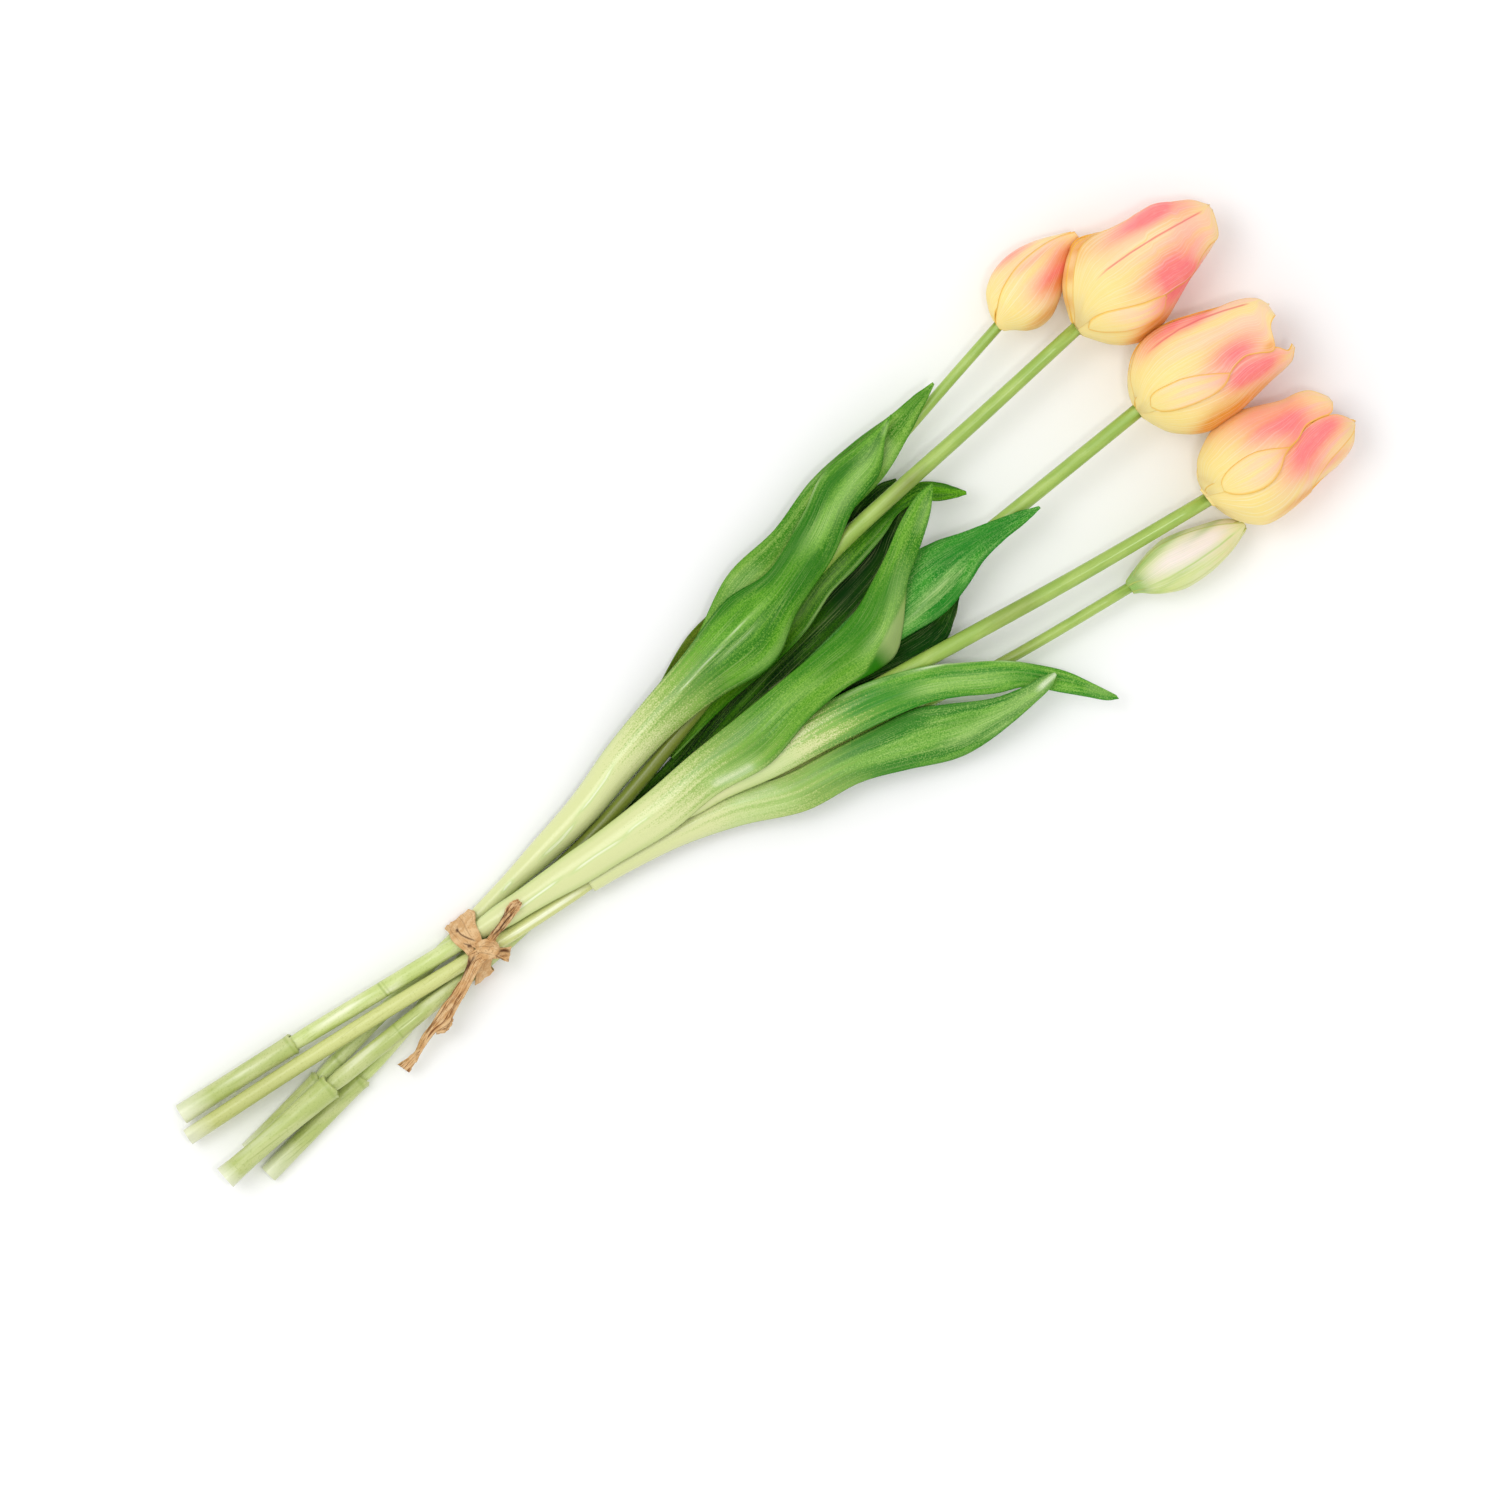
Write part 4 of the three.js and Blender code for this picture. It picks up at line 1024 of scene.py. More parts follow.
def wound_strip(u, v, stations, count, depth, seed):
    shares, left, right = np.transpose(stations)
    step = np.gradient(LOOP, axis=0)
    outward = np.stack([-step[:, 1], step[:, 0]], axis=1) / np.linalg.norm(step, axis=1)[:, None]
    turn = shares[0] + (shares[-1] - shares[0]) * u
    over = (v + 1) / 2
    first, last = (np.interp(turn, shares, edge) for edge in (left, right))
    x = first + (last - first) * over + UNEVEN * np.sin(37 * turn + 5 * seed) * np.abs(v)
    grid = np.linspace(0, 1, len(LOOP))
    y, z, out_y, out_z = (np.interp(turn % 1, grid, column) for column in (*LOOP.T, *outward.T))
    lift = pleats(turn * 3, over, count, depth, seed) + depth
    return np.stack([x, y + out_y * lift, np.maximum(z + out_z * lift, LOWEST_PAPER)], axis=1)


def loose_strip(u, v, upper, lower, heights, count, depth, seed):
    top, bottom = smooth_path(upper, u), smooth_path(lower, u)
    over = (v + 1) / 2
    z = np.interp(u, np.linspace(0, 1, len(heights)), heights) + CROWN * (1 - v * v)
    flat = bottom + (top - bottom) * over[:, None]
    return np.column_stack([flat, z + pleats(2 * u, over, count, depth, seed)])


# %% Two turns round the stems: share of the loop, then both edges along the bunch, in mm
# After the stations come the number of pleats, their depth in mm and a seed, as for the tails
TURNS = [
    ([(0.03, -121, -118), (0.1, -121.6, -118.2), (0.2, -122, -118.6), (0.27, -121.6, -118.8),
      (0.34, -121.5, -118), (0.5, -122, -116), (0.65, -123.5, -117), (0.8, -125.4, -117.4),
      (0.88, -123, -117), (0.97, -119, -113)],
     2, 0.3, 1.0),
    ([(0.0, -116, -113.5), (0.06, -118, -114), (0.13, -118.9, -112.6), (0.2, -119.1, -111),
      (0.27, -119.3, -110.2), (0.34, -119, -111), (0.5, -119, -113.5), (0.7, -123.5, -118.5),
      (0.84, -122, -117.8), (0.93, -119, -115)],
     2, 0.22, 2.2),
]
print(len(TURNS), "turns")

# %% Three tails and a loose loop: upper edge, lower edge and heights, in mm
TAILS = [
    ([(-112, -3.2), (-107, -2.1), (-103, -0.5), (-101, 0.7), (-98.6, 1.3), (-95.8, 0.9)],
     [(-112, -6), (-107, -4.6), (-103, -3.9), (-99.4, -2.9), (-97.2, -2.3), (-95.4, -1.2)],
     [16.4, 16.6, 16.9, 17.3, 17.5, 17.6], 3, 0.55, 3.1),
    ([(-116, -4.2), (-120.5, -4.2), (-124, -6.8), (-130, -9.8), (-138, -12), (-145, -14.7), (-150, -16),
      (-156, -18.6), (-162.8, -18.4)],
     [(-115, -9), (-120, -9.6), (-126, -12), (-135, -16), (-141, -18.4), (-147, -17.9), (-154.5, -20.5),
      (-158, -21.8), (-161.4, -22.8)],
     [15.9, 15.7, 14.9, 13.8, 12.3, 10.4, 8.6, 7.4, 6.6], 4, 0.6, 4.4),
    ([(-114, -8), (-111, -8.4), (-109, -9.8), (-107.3, -10.5)],
     [(-115, -10), (-113, -11.5), (-112.3, -13), (-111.4, -14.2)], [15.8, 15, 14.2, 13.2], 2, 0.45, 5.7),
    ([(-138, -15.6), (-140, -16.4), (-142.6, -17), (-144.6, -16.8)],
     [(-138.4, -18), (-140.6, -19.4), (-143, -19.7), (-146, -18.4)], [11.8, 11.2, 10.8, 10.2], 2, 0.4,
     6.3),
]
print(len(TAILS), "loose runs")

# %% Dark folds of the paper: a line over the strip, half width in mm and strength
FOLD_MARKS = [
    ([(-117.4, 6.6), (-118.6, 4.8), (-118.4, 3), (-117.2, 0.4), (-116, -1.2), (-115, -2.6)], 0.2, 0.95),
    ([(-118.3, 5.4), (-118.7, 4.6), (-118.6, 4)], 0.35, 0.95),
    ([(-119.2, -1.2), (-118.4, -1.9), (-117.8, -2.4)], 0.42, 0.95),
    ([(-119.8, 0.6), (-118.4, -1.6)], 0.16, 0.8),
    ([(-120, -3.4), (-122.2, -6.5), (-125, -7.6), (-129, -9.6)], 0.36, 0.95),
    ([(-118.4, -5.2), (-120.6, -6.2), (-124, -7.8)], 0.2, 0.85),
    ([(-112, -3.8), (-107, -3.6), (-103, -2.4), (-97.5, -1.6)], 0.2, 0.95),
    ([(-112, -3.4), (-108, -2.4), (-104, -1.1), (-98.4, 1)], 0.16, 0.85),
    ([(-112, -5.2), (-107.6, -4.6), (-103, -3.4)], 0.14, 0.7),
    ([(-105, -1.2), (-97, -0.6)], 0.14, 0.75),
    ([(-118.6, -2.4), (-115, -4.6), (-112.4, -6.6), (-111, -8.4)], 0.13, 0.4),
    ([(-119, -4.2), (-116, -6.6), (-113.6, -9.8)], 0.13, 0.45),
    ([(-113.6, -9.2), (-113, -11), (-112, -13)], 0.2, 0.75),
    ([(-112, -9), (-110.4, -10), (-108.4, -12)], 0.4, 0.9),
]
print(len(FOLD_MARKS), "dark folds")

# %% Shape the turns and the tails
STRIP_GRID = (150, 36)
PAPER = 0.3
TURN_CREASED = 0.35
TAIL_CREASED = 1

strips = [(TURN_CREASED, sheet_piece("turn", STRIP_GRID, wound_strip, *turn)) for turn in TURNS]
strips += [(TAIL_CREASED, sheet_piece("tail", STRIP_GRID, loose_strip, *tail)) for tail in TAILS]
for creased, strip in strips:
    note_values(strip, "creased", creased)
    note_marks(strip, "folded", FOLD_MARKS)
    thicken(strip, PAPER)
print(len(strips), "runs of the strip")

# %% [markdown]
# The knot is the same strip folded over itself. It could be tied from one long sheet, but only its top
# shows, as a small pleated lump. So a ball is pressed into the outline that the knot has from above,
# and its top is pleated in the two directions in which the strip crosses.

# %% Press a ball into the outline of the knot
KNOT_OUTLINE = [
    (-116.2, -2.6), (-113.4, -2.8), (-111.4, -4.4), (-110.3, -7.2), (-111.3, -9.2), (-113.2, -9.9),
    (-115.6, -9.6), (-117.2, -8.6), (-118, -6), (-117.4, -3.8),
]
KNOT_MIDDLE = (-114, -6.2, 15.4)
KNOT_HEIGHT = 2.1

clear_selection()
bpy.ops.mesh.primitive_uv_sphere_add(segments=96, ring_count=48, radius=1)
knot = bpy.context.object
ball = points_of(knot, unit=1)
outline = np.array(KNOT_OUTLINE + KNOT_OUTLINE[:1]) - KNOT_MIDDLE[:2]
bearing = np.unwrap(np.arctan2(outline[:, 1], outline[:, 0]))
order = np.argsort(bearing)
around = np.arctan2(ball[:, 1], ball[:, 0])
around = bearing.min() + (around - bearing.min()) % (2 * np.pi)
reach = np.interp(around, bearing[order], np.hypot(*outline.T)[order])
flat = np.hypot(ball[:, 0], ball[:, 1])
# A power of less than one makes the lump full up to its edge
spread = reach * flat**0.8
x, y = spread * np.cos(around), spread * np.sin(around)
print("the knot is", round(float(np.ptp(x)), 1), "by", round(float(np.ptp(y)), 1), "mm")

# %% Pleat the top of the knot
# The first pleats lie on the side of the blooms and the second on the side of the cut ends
first_fold = pleats(0.05 * (x - y), 0.12 * (x + y) + 0.5, 2, 0.7, 1.4)
second_fold = pleats(0.05 * (x + y), 0.12 * (x - 0.4 * y) + 0.5, 2, 0.6, 0.6)
meeting = ease(x + 0.6 * y, 0.1, 0.7)
relief = first_fold * meeting + second_fold * (1 - meeting)
z = KNOT_HEIGHT * np.sign(ball[:, 2]) * np.abs(ball[:, 2]) ** 0.7 + relief * (1 - flat**4)
move_points(knot, np.column_stack([x, y, z]) + KNOT_MIDDLE)
note_values(knot, "creased", TURN_CREASED)
note_marks(knot, "folded", FOLD_MARKS)
bpy.ops.object.shade_smooth()
print("its folds are", round(float(np.ptp(relief)), 1), "mm deep")

# %% [markdown]
# Paper raffia is tan, with lighter patches, dark flecks and dark lines where it is creased. The pleats
# alone are too shallow to look dark under soft light, so the creases, the hollows and the folds that
# show in the photograph are darkened as well.

# %% Finish of the raffia
RAFFIA = seen(0.81, 0.635, 0.425)
RAFFIA_LIGHT = seen(0.88, 0.74, 0.55)
RAFFIA_DEEP = seen(0.48, 0.29, 0.13)
RAFFIA_FOLD = seen(0.30, 0.16, 0.07)
RAFFIA_NOISES = [
    ("UV", (2.2, 20, 1), 4, 0.4), ("Object", (420, 420, 420), 4, 1.3),
    ("Object", (2200, 2200, 2200), 2, 2.6),
]


def raffia_finish():
    material, tree, shader = new_finish("raffia_paper", roughness=0.75)
    crinkle, mottle, fleck = noises(tree, 0, RAFFIA_NOISES)
    pointed = add_step(tree, "NewGeometry", {}).outputs["Pointiness"]
    colour = layered(tree, RAFFIA, [
        (mottle, 0.36, 0.64, 0, 1, RAFFIA_LIGHT),
        (crinkle, 0.47, 0.40, 0, 0.9, RAFFIA_DEEP, "creased"),
        (fleck, 0.42, 0.30, 0, 0.4, RAFFIA_DEEP),
        (pointed, 0.49, 0.44, 0, 0.8, RAFFIA_DEEP),
    ])
    colour = marked(tree, colour, {"folded": RAFFIA_FOLD})
    complete(tree, shader, colour, crinkle, strength=0.6, depth=0.4)
    return material


# %% Join the raffia
raffia = join("raffia", [strip for _, strip in strips] + [knot])
settle(raffia, "tie", "raffia", raffia_finish())

# %% [markdown]
# A head is a body of petals in layers that lean on each other. It could be one egg with grooves, but
# real petals overlap, and their thin edges catch the light. So a body is given by sections along it:
# the place along the bunch, its upper and its lower outline, and the height of its middle. Each
# petal is a sheet that lies on this body. Its two edges are lines of points, seen from above.
# A point past the body's outline is measured on round the back.
#
# Petals that the photograph shows have the edges that it shows. The others, at the back, are placed by
# their angle round the head. An inner shell keeps the eye from looking through the gaps.

# %% Bodies of the first three heads, in mm
HEADS = {
    "bloom_1": [
        (152.6, 56.4, 51.6, 15), (154, 60.4, 50.8, 14.8), (156.5, 64.8, 49.6, 14.4),
        (160, 67.6, 47.2, 13.9), (164, 69.4, 45.7, 13.4), (169, 70.3, 46, 13), (174, 70.1, 48.4, 12.6),
        (179, 69.1, 51.7, 12.2), (184, 67.3, 55.6, 11.9), (189, 65, 59.7, 11.6),
        (193.3, 62.7, 61.7, 11.4),
    ],
    "bloom_2": [
        (173, 39.6, 33.8, 17.9), (174.3, 43, 31.8, 17.9), (176.5, 48.2, 28.7, 17.9),
        (179, 51.9, 25.6, 17.8), (182.5, 55.3, 22.6, 17.8), (187, 58.6, 20.2, 17.8),
        (191, 60.1, 19.6, 17.8), (195, 59.2, 19.8, 17.9), (200, 56.7, 20.8, 18), (207, 54.6, 23.6, 18),
        (214, 53.6, 26.4, 18.1), (220, 52.6, 28.2, 18.2), (226, 49, 30.4, 18.3), (231, 45.8, 33, 18.4),
        (234.2, 41.5, 38.5, 18.4),
    ],
    "bloom_3": [
        (172.3, 4.9, -1.4, 19.5), (173.8, 8.4, -5.5, 19.5), (176, 11.8, -9.8, 19.5),
        (179, 14.8, -13, 19.6), (183, 17.6, -16.2, 19.6), (188, 19.2, -18.5, 19.6),
        (194, 19.4, -19.1, 19.7), (200, 18.4, -19.3, 19.8), (207, 15.8, -18.6, 19.8),
        (214, 12.8, -17.8, 19.9), (220, 10.6, -17.3, 19.9), (225, 8.2, -16.2, 20),
        (228, 5.5, -13.2, 20), (229.7, 2, -3, 20),
    ],
}

# %% Bodies of the fourth head and of the bud
HEADS |= {
    "bloom_4": [
        (173.2, -32, -40.6, 16.2), (174.3, -29, -44.5, 16.2), (176, -26.8, -48, 16.2),
        (179, -24.2, -51.8, 16.1), (183, -21.8, -55, 16.1), (188, -19.9, -56.2, 16.1),
        (194, -19.4, -56.4, 16.2), (200, -20.5, -55.9, 16.2), (207, -23.6, -54.9, 16.3),
        (214, -26.8, -54.9, 16.4), (220, -28, -53.6, 16.5), (224.5, -31.5, -51.3, 16.5),
        (227, -37, -48.2, 16.6), (228.3, -42, -46, 16.6),
    ],
    "bud_5": [
        (133.2, -41.9, -46.3, 10.5), (135.4, -41.2, -47.6, 10.5), (139, -40.2, -50.8, 10.5),
        (143, -39, -53.4, 10.5), (148, -38.2, -55.6, 10.5), (153, -38.2, -56.4, 10.5),
        (159, -39.8, -56.6, 10.5), (165, -42, -56, 10.5), (170, -44, -55, 10.5),
        (174.5, -46.6, -53.5, 10.5), (178, -50, -51.8, 10.5),
    ],
}
print_total(HEADS, "sections of heads")

# %% Petals of the first two heads: upper edge, lower edge and layer above the body, in mm
PETALS = {
    "bloom_1": [
        ("front", 1.0,
         [(153.4, 56.2), (157, 59.4), (161, 62), (166, 64), (171, 65.2), (177, 65.6), (183, 65.3),
          (188, 64.3), (193.2, 62.5)],
         [(153.4, 52.6), (157, 44), (161, 38), (166, 35), (171, 36), (177, 42), (183, 50), (188, 57),
          (193.2, 61.6)]),
    ],
    "bloom_2": [
        ("second_rim", 0.65,
         [(174.4, 40.8), (176.6, 46.2), (179.6, 50.2), (184.2, 54.8), (189.5, 58.5), (195, 58.4),
          (202, 56.4), (212, 54), (222, 51.6)],
         [(174.4, 37), (178, 40), (182, 43), (186, 46), (190, 48), (196, 50), (204, 50), (213, 50),
          (222, 50.6)]),
        ("lower", 0.4,
         [(174, 38.5), (178, 39), (183, 38.5), (188, 36), (194, 33.5), (200, 31.5), (207, 31),
          (214, 31), (221, 32), (227, 32.8), (231.6, 34.2)],
         [(174, 33), (176, 22), (180, 12), (185, 6), (192, 5), (199, 8), (206, 15), (213, 21),
          (220, 25.5), (226, 29.5), (231.6, 33.6)]),
        ("front", 1.1,
         [(174.2, 39), (176.2, 42), (178.5, 45.3), (182, 49.3), (186.5, 53.6), (191, 56.4), (196, 56.8),
          (202, 55.4), (210, 53.9), (218.3, 53.7), (222, 52), (225.2, 49.4), (229, 47.6), (232.4, 44.8),
          (234.4, 41.2)],
         [(174.2, 36), (177, 35.9), (181, 35.4), (185, 33.9), (190, 31.2), (195, 29), (199, 27.9),
          (203, 27.6), (208, 27.5), (212, 27.3), (216.5, 28.2), (221, 30.4), (226, 31.9), (230.6, 33),
          (234.4, 40)]),
        ("lobe", 1.35,
         [(176.2, 34.9), (178.6, 36.2), (183, 35.5), (187, 33.9), (191.5, 31.9), (196, 30.1), (200, 29),
          (203.8, 28)],
         [(176.2, 34), (178.6, 31.2), (181.6, 28.8), (185.4, 26.3), (190, 24.4), (195, 23.5),
          (199.8, 24), (203.8, 27.2)]),
    ],
}

# %% Petals of the third head
PETALS |= {
    "bloom_3": [
        ("lower", 0.4,
         [(173, 2.6), (176, 2.8), (181, 2), (188, 0), (196, -3), (204, -5), (211, -5.2), (217, -7),
          (222.3, -9.8), (225, -13.1), (227.6, -12.3)],
         [(173, -3), (175, -13), (179, -23), (184, -30), (190, -33), (197, -33), (204, -29), (211, -24),
          (217, -20), (223, -17.4), (227.6, -13.6)]),
        ("front", 1.1,
         [(173, 3.4), (174.6, 7), (177, 11.2), (181, 14.8), (186, 17.7), (191, 18.7), (197, 18),
          (204, 15.6), (212, 12.4), (220, 10.2), (225, 7.9), (228.3, 5.1), (229.9, 2.4)],
         [(173, 0), (175, -1.2), (179, -2.4), (184, -3.6), (190, -5.4), (196, -7.2), (203, -7.6),
          (207, -6.4), (212, -6), (216, -7.6), (221.4, -9.9), (225.2, -3.6), (229, -1.7)]),
        ("lobe", 1.35,
         [(176.4, 0.4), (178.2, 2.6), (181, 3.1), (185, 2.4), (190, 1.2), (195, -1), (200, -3.9),
          (204.6, -6.9)],
         [(176.4, -0.2), (178, -2.9), (181, -5), (185, -6.7), (190, -8.2), (196, -9.3), (201, -9),
          (204.6, -7.2)]),
    ],
}

# %% Petals of the fourth head and of the bud
PETALS |= {
    "bloom_4": [
        ("lowest", 0.0,
         [(174, -42), (181, -47), (188, -49), (195, -50), (202, -50), (209, -49), (216, -48),
          (222, -47.5), (227.6, -46.4)],
         [(174, -44), (181, -66), (188, -73), (195, -72), (202, -66), (209, -61), (216, -57),
          (222, -53.4), (227.6, -47.4)]),
        ("lower", 0.5,
         [(173.4, -34), (178, -33.5), (184, -34.5), (190, -36), (196, -37), (202, -38.5), (208, -38.8),
          (214, -38), (219, -38.4), (223.6, -40), (226.2, -42.4), (228.3, -46)],
         [(173.4, -39.8), (175.5, -50), (179, -60), (184, -66), (190, -67), (196, -61), (202, -55.6),
          (207, -53.2), (213, -51.4), (219, -50.4), (225, -49), (228.3, -46.5)]),
        ("upper", 1.1,
         [(173.4, -31.8), (174.8, -28.9), (178, -25.1), (183, -22.1), (188, -20.2), (194, -19.7),
          (200, -20.8), (206, -23.4), (213, -26.6), (219, -28), (223, -30.2), (226.5, -35.6)],
         [(173.4, -35.5), (177, -37.5), (182, -39.4), (188, -41), (194, -41.8), (199, -41.6),
          (204, -40.2), (209, -39.5), (214, -37.7), (219, -38.3), (223.6, -39.4), (226.4, -37.4)]),
        ("lobe", 1.35,
         [(178.3, -37.6), (179.6, -34.9), (183, -33.5), (188, -33.1), (194, -33.8), (199, -35.9),
          (202.5, -38), (205.2, -39.6)],
         [(178.3, -38), (179.8, -40.1), (183, -42.6), (188, -44.6), (193, -45), (198, -43.5),
          (201.6, -41.2), (205.2, -39.9)]),
    ],
    "bud_5": [
        ("front", 0.7,
         [(134.2, -42.8), (138, -41.2), (143, -40), (149, -39.3), (155, -40.4), (161, -42.1),
          (167, -44.5), (172, -47), (177.6, -50.5)],
         [(134.2, -45.6), (138, -49.4), (143, -52.2), (149, -54.2), (155, -55), (161, -55.2),
          (167, -54.6), (172, -53.4), (177.6, -51.2)]),
    ],
}
print_total(PETALS, "petals that show")

# %% Petals at the back: angle from straight up, half width, layer and reach along the head
BACK_PETALS = {
    "bloom_1": [(62, 84, 0.3, 0.97), (180, 68, 0.5, 0.95)],
    "bloom_2": [(75, 60, 0.0, 0.9), (150, 58, 0.5, 0.96), (-150, 60, 0.1, 0.93)],
    "bloom_3": [(62, 62, 0.2, 0.88), (140, 58, 0.5, 0.92), (-165, 60, 0.0, 0.87)],
    "bloom_4": [(52, 56, 0.4, 0.9), (130, 60, 0.2, 0.93), (-155, 58, 0.4, 0.9)],
    "bud_5": [(50, 66, 0.3, 0.97), (-75, 72, 0.2, 0.98), (180, 60, 0.0, 0.95)],
}
print_total(BACK_PETALS, "petals at the back")

# %% Place a point on the body of its head
ROUNDNESS = 0.9
# No point lies lower than this, in mm, and an outer layer stays a share of its height above it
LOWEST = 0.25
LAYER_SHARE = 0.1


def body_at(head):
    samples = smooth_path(HEADS[head], np.linspace(0, 1, 400))

    def measure(x):
        upper, lower, height = (np.interp(x, samples[:, 0], samples[:, i]) for i in (1, 2, 3))
        return (upper + lower) / 2, (upper - lower) / 2, height

    return measure, HEADS[head][0][0], HEADS[head][-1][0] - HEADS[head][0][0]


def angle_round(measure, points):
    middle, half, _ = measure(points[:, 0])
    share = (points[:, 1] - middle) / half
    past = np.maximum(np.abs(share) - 1, 0)
    return np.sign(share) * (np.arcsin(np.minimum(np.abs(share), 1)) + past)


def on_body(measure, x, angle, layer):
    middle, half, height = measure(x)
    reach = half + layer
    z = np.maximum(height + ROUNDNESS * reach * np.cos(angle), LOWEST + LAYER_SHARE * layer)
    return np.stack([x, middle + reach * np.sin(angle), z], axis=1)


for head in HEADS:
    measure, first, length = body_at(head)
    x = np.linspace(first, first + length, 50)
    print(head, "is", round(length), "mm long and", round(2 * measure(x)[1].max()), "mm wide")

# %% Petals that show
# How far a lobe swells, a petal's root laps over the stem and its edges curl up, in mm
PILLOW = 0.9
ROOT_LAP = 0.9
CURL = 0.2
# The share of a petal's length over which its root laps, and over which its layer lifts off
LAP_END = 0.08
LIFT_END = 0.22


def shown_petal(u, v, head, kind, layer, upper, lower):
    measure, _, _ = body_at(head)
    top, bottom = smooth_path(upper, u), smooth_path(lower, u)
    share = (v + 1) / 2
    x = bottom[:, 0] + (top[:, 0] - bottom[:, 0]) * share
    high, low = angle_round(measure, top), angle_round(measure, bottom)
    if kind == "lobe":
        lift = layer + PILLOW * np.sqrt(np.maximum(np.sin(np.pi * share) * np.sin(np.pi * u), 0))
    else:
        x = x - ROOT_LAP * (1 - ease(u, 0, LAP_END))
        lift = ease(u, 0, LIFT_END) * (layer + CURL * np.abs(v) ** 8)
    return on_body(measure, x, low + (high - low) * share, lift)


# %% Petals at the back and the inner shell
# Width of a back petal at shares of its length, and the share over which it lifts off
PETAL_WIDTHS = [(0, 0.45), (0.15, 0.72), (0.4, 1), (0.65, 0.98), (0.85, 0.74), (0.95, 0.42), (1, 0.06)]
BACK_LIFT_END = 0.1
# The shell lies this deep under the body, in mm, but no deeper than this share of its half width
SHELL_DEPTH = 1.6
SHELL_SHARE = 0.6
# It starts this far along the head, in mm, and covers this share of its length
SHELL_START = 0.4
SHELL_REACH = 0.84


def back_petal(u, v, head, angle, half_width, layer, reach):
    measure, first, length = body_at(head)
    share = (1 - np.cos(np.pi * u)) / 2
    width = np.interp(share, *np.transpose(PETAL_WIDTHS))
    lift = ease(u, 0, BACK_LIFT_END) * (layer + CURL * np.abs(v) ** 8)
    turn = np.radians(angle + half_width * width * v)
    return on_body(measure, first + length * share * reach, turn, lift)


def shell(u, v, head):
    measure, first, length = body_at(head)
    x = first + SHELL_START + length * SHELL_REACH * (1 - np.cos(np.pi * u)) / 2
    _, half, _ = measure(x)
    return on_body(measure, x, np.pi * v, -np.minimum(SHELL_DEPTH, SHELL_SHARE * half))


# %% [markdown]
# The petals are yellow at their roots, peach on their bellies, and flushed with pink towards the tips.
# Deeper orange sits where two petals meet and along some lower edges: partly their own colour and
# partly painted shade. Each flush is a soft spot with a middle, a reach along and across, and a
# strength. One ramp from root to tip could hold the flush, but each head is flushed in other places,
# so the spots are noted at the points of the petals and turned into colour by the finish. Fine veins
# run from the root to the tip along the petal's own map.

# %% Soft spots of pink: x, y, reach along x, reach along y, strength
PINK = {
    "bloom_1": [
        (178, 54.6, 8, 3.8, 1), (185, 58.6, 6, 4, 0.65), (171, 70.5, 12, 2.2, 0.7),
        (175, 64, 9, 1.2, 0.35),
    ],
    "bloom_2": [
        (210.5, 32.5, 9, 6.5, 1), (200, 34, 8, 3, 0.25), (220, 51, 9, 3.6, 0.9),
        (206, 53.4, 10, 3, 0.65), (214, 52, 8, 3, 0.5), (227, 46, 7, 4, 0.4), (222, 36.5, 10, 6, 0.38),
        (205, 24.5, 9, 3.4, 0.65), (213, 28, 8, 3, 0.8),
    ],
    "bloom_3": [
        (207, -2.5, 9, 5.5, 0.75), (215, -4, 8, 5, 0.5), (207, -11.5, 8, 3.8, 0.95),
        (216, -13, 8, 3.2, 0.9), (199, 17.6, 10, 2.8, 1), (209, 14, 8, 2, 0.8), (187, 16, 7, 4, 0.3),
    ],
    "bloom_4": [
        (211, -33, 9, 6.5, 1), (200, -29, 8, 4.5, 0.6), (202, -23, 10, 3, 0.35), (212, -43, 9, 5, 1),
        (222, -42, 6, 5, 0.6), (203, -46, 8, 5, 0.5), (207, -49.4, 7, 2.6, 0.3),
        (214, -52.5, 10, 1.5, 0.4),
    ],
    "bud_5": [(152, -44.8, 15, 3.8, 0.95), (164, -48, 12, 3.8, 0.85)],
}
print_total(PINK, "spots of pink")

# %% Soft spots of deep orange, partly painted shade, and of green on the bud
EMBER = {
    "bloom_1": [(182, 52.5, 8, 2.4, 0.9), (188, 58, 6, 2.2, 0.8), (168, 46.4, 10, 1.8, 0.8)],
    "bloom_2": [
        (189, 20.6, 9, 2.2, 0.85), (189, 56, 9, 3.4, 0.42), (197, 21.4, 6, 2, 0.6),
        (190, 59.6, 8, 2.2, 0.5),
    ],
    "bloom_3": [
        (197, -18.4, 11, 2.6, 1), (193, -14.6, 12, 2.4, 0.38), (187, -17, 7, 2, 0.6),
        (194, 19, 9, 1.2, 0.5), (221, -8.6, 3, 1.4, 0.8), (210, -17.6, 8, 1.2, 0.5),
    ],
    "bloom_4": [(199, -55.8, 12, 1.3, 0.8), (206, -39.9, 4, 1, 0.6), (197, -20.4, 9, 1.2, 0.4)],
    "bud_5": [
        (134.5, -44.4, 5, 6, 1), (142, -40.2, 9, 1.1, 0.5), (157, -39.4, 12, 0.9, 0.5),
        (168, -44, 9, 1.2, 0.5), (148, -51, 12, 1, 0.3),
    ],
}
# The golden shade on the edges that stand behind the second head
BACK_EMBER = {
    "bloom_2": [
        (176.4, 45, 2.4, 4, 0.55), (182, 52.4, 3.4, 2.6, 0.65), (190.5, 58.6, 4, 1.8, 0.75),
        (196.5, 57.6, 3, 1.6, 0.6),
    ],
}


def spots(places, points):
    total = np.zeros(len(points))
    for x, y, along, over, strength in places:
        total += strength * np.exp(-(((points[:, 0] - x) / along) ** 2) - ((points[:, 1] - y) / over) ** 2)
    return np.clip(total, 0, 1)


print_total(EMBER, "deeper spots")

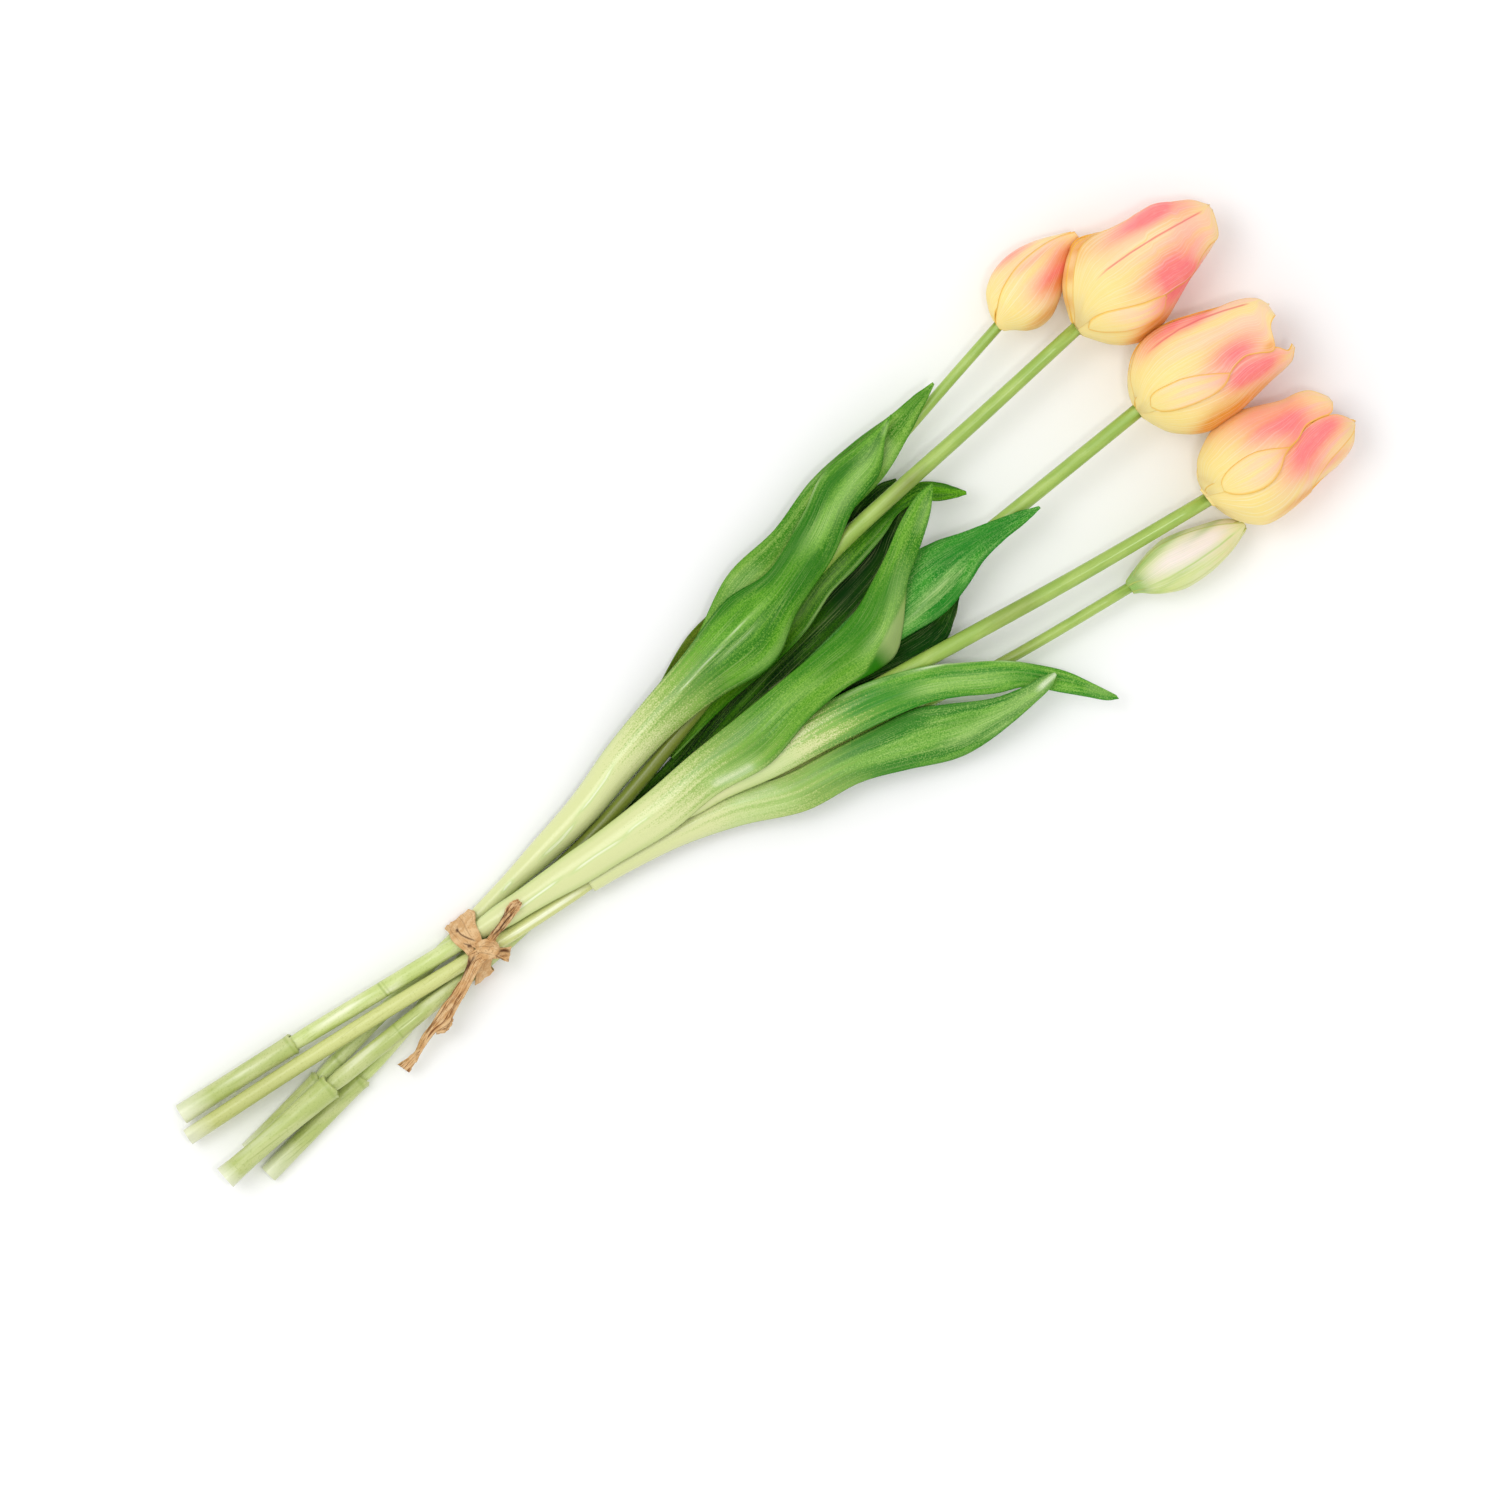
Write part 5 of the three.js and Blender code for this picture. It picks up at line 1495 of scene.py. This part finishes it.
# %% Paints of the petals: root, belly, tip, flush, deep spots, rim and rib
PETAL_PAINT = (
    seen(0.99, 0.87, 0.545), seen(1.0, 0.83, 0.635), seen(1.0, 0.815, 0.68), seen(1.0, 0.42, 0.47),
    seen(0.92, 0.60, 0.20), seen(0.97, 0.73, 0.24), seen(0.93, 0.36, 0.40),
)
BUD_PAINT = (
    seen(0.79, 0.85, 0.50), seen(0.86, 0.88, 0.65), seen(0.87, 0.83, 0.58), seen(0.97, 0.895, 0.86),
    seen(0.52, 0.70, 0.28), seen(0.74, 0.76, 0.40), seen(0.72, 0.80, 0.46),
)
PALE_VEIN = seen(1.0, 0.945, 0.84)
print(len(PETAL_PAINT), "paints for the blooms and", len(BUD_PAINT), "for the bud")

# %% Parts of the finish of the petals
PETAL_NOISES = [("UV", (1.2, 75, 1), 4, 0), ("UV", (20, 190, 1), 3, 5), ("UV", (1.6, 5, 1), 2, 0)]
RIB_HALF = 0.55


def ramp(tree, source, stops):
    step = add_step(tree, "ValToRGB", {"Fac": source})
    elements = step.color_ramp.elements
    while len(elements) < len(stops):
        elements.new(0.5)
    for element, (position, colour) in zip(elements, stops):
        element.position = position
        element.color = colour
    return step.outputs["Color"]


def rim_share(tree, over):
    from_edge = calculated(tree, "MINIMUM", over, calculated(tree, "SUBTRACT", 1.0, over))
    from_edge = calculated(tree, "MULTIPLY", from_edge, noted(tree, "width"))
    return calculated(tree, "DIVIDE", from_edge, noted(tree, "rim"))


# %% Finish of the petals
def petal_finish(name, seed, root, belly, tip, pink, deep, rim, rib):
    material, tree, shader = new_finish(name, roughness=0.55)
    shader.inputs["Subsurface Weight"].default_value = 0.2
    shader.inputs["Subsurface Radius"].default_value = (1.0, 0.6, 0.35)
    shader.inputs["Subsurface Scale"].default_value = 2 * MM
    veins, grain, clouds = noises(tree, seed, PETAL_NOISES)
    stops = [(0, root), (0.22, root), (0.5, belly), (0.8, tip), (1, belly)]
    colour = ramp(tree, coordinate(tree, "UV", 0), stops)
    colour = layered(tree, colour, [
        (clouds, 0.40, 0.62, 0, 0.75, root),
        (veins, 0.35, 0.62, 0.82, 1, pink, "pink"),
    ])
    # The deep orange spots are partly the petals' own colour and partly painted shade
    colour = layered(tree, marked(tree, colour, {"ember": deep}), [
        (veins, 0.46, 0.72, 0, 0.38, PALE_VEIN),
        (grain, 0.52, 0.72, 0, 0.2, PALE_VEIN),
        (calculated(tree, "ABSOLUTE", noted(tree, "rib")), RIB_HALF, 0, 0, 0.75, rib, "rib_on"),
        (rim_share(tree, coordinate(tree, "UV", 1)), 1, 0.1, 0, 0.8, rim),
    ])
    complete(tree, shader, colour, veins, strength=0.3, depth=0.2)
    return material


# %% [markdown]
# The edges of the petals are rimmed with gold, wider on the small lobes in front, and three petals carry
# a fine rib, rosy on the blooms and green on the bud. The rims could be pieces of their own, but
# they are only a change of colour. So each point is told how wide its sheet is there, and the
# finish turns that into a distance from the edge.

# %% Ribs that only some petals carry
# A fine line that runs along a petal, as x and y in mm
RIBS = {
    ("bloom_2", "front"): [
        (187, 45.2), (193, 45.9), (203, 45.5), (213.7, 44.4), (223, 43), (232, 41.6),
    ],
    ("bloom_3", "front"): [(184, 15.2), (193, 15.4), (200, 14.9), (208, 13.2), (216, 10.6), (225, 7)],
    ("bud_5", "front"): [(136, -47), (146, -49.6), (156, -50.8), (166, -51.4), (174, -51.2)],
}
# A rib comes in over its first stretch and fades over its last, in mm
RIB_START = 9
RIB_END = 3


def note_rib(petal, points, path):
    xs, ys = np.transpose(path)
    note_values(petal, "rib", points[:, 1] - np.interp(points[:, 0], xs, ys))
    ending = ease(points[:, 0], xs[-1] - RIB_END, xs[-1])
    note_values(petal, "rib_on", ease(points[:, 0], xs[0], xs[0] + RIB_START) * (1 - ending))


print(len(RIBS), "petals with a rib")

# %% Golden rims
# Width of the golden rim on a petal's upper and on its lower edge, in mm
RIM_WIDTHS = {
    "lobe": (0.9, 1.5),
    "second_rim": (1.6, 0.5),
    "front": (0.8, 0.8),
    "lower": (0.5, 0.8),
    "lowest": (0.6, 0.7),
    "upper": (0.7, 0.8),
    "back": (0.6, 0.6),
    "shell": (0.6, 0.6),
}
# The petals in front carry hardly any rim under their lobe, which ends at this x, in mm
LOBE_END = 199
LOBE_FADE = 5
FAINT_RIM = 0.12
# No lobe lies above this y, in mm, so the rims there are full
COVERED_TO = 44


def note_rims(piece, kind, points, rows, columns):
    steps = np.linalg.norm(np.diff(points.reshape(columns + 1, rows + 1, 3), axis=0), axis=2)
    note_values(piece, "width", np.tile(steps.sum(axis=0), columns + 1))
    at_top, at_bottom = RIM_WIDTHS[kind]
    below = np.repeat(np.arange(columns + 1) < columns / 2, rows + 1)
    widths = np.where(below, at_bottom, at_top)
    if kind in ("front", "upper"):
        past_lobe = ease(points[:, 0], LOBE_END, LOBE_END + LOBE_FADE)
        faint = FAINT_RIM + (widths - FAINT_RIM) * past_lobe
        widths = np.where(below & (points[:, 1] < COVERED_TO), faint, widths)
    note_values(piece, "rim", widths)


# %% [markdown]
# All is ready to shape the heads. Each is built from the inside out: the shell, the petals at the back
# and then those that show, which are joined into one piece. The bud has the same steps as the blooms
# and other paints.

# %% Sheets of a head, from the inside out
SHELL_GRID = (40, 40)
PETAL_GRID = (84, 44)
PETAL_THICKNESS = 0.5


def head_sheets(head):
    yield "shell", SHELL_GRID, shell
    for petal in BACK_PETALS[head]:
        yield "back", PETAL_GRID, back_petal, *petal
    for petal in PETALS[head]:
        yield petal[0], PETAL_GRID, shown_petal, *petal


def shaped_petal(head, kind, grid, place, *details):
    petal = sheet_piece(kind, grid, place, head, *details)
    points = points_of(petal)
    embers = EMBER[head] + (BACK_EMBER.get(head, []) if kind in ("back", "second_rim") else [])
    note_values(petal, "pink", spots(PINK[head], points))
    note_values(petal, "ember", spots(embers, points))
    note_rims(petal, kind, points, *grid)
    if (head, kind) in RIBS:
        note_rib(petal, points, RIBS[head, kind])
    thicken(petal, PETAL_THICKNESS)
    return petal


# %% Shape the five heads
PETAL_SEED_STEP = 10.0
BUD_SEED = 50

for number, head in enumerate(HEADS):
    petals = [shaped_petal(head, *sheet) for sheet in head_sheets(head)]
    name = "petals_" + head[-1]
    if head == "bud_5":
        paint = petal_finish("bud_petals", BUD_SEED, *BUD_PAINT)
    else:
        paint = petal_finish(name, PETAL_SEED_STEP * number, *PETAL_PAINT)
    settle(join(name, petals), head, "bud" if head == "bud_5" else "petal", paint)

# %% [markdown]
# Last, the size of the whole bunch is measured again and printed, as that of the solid model was. The
# two should agree to about a millimetre, because every piece lies on the solid that it stands for.

# %% Measure the finished bunch
look_box = [list(corner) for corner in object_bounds()]
print_size("size of the finished bunch", look_box)
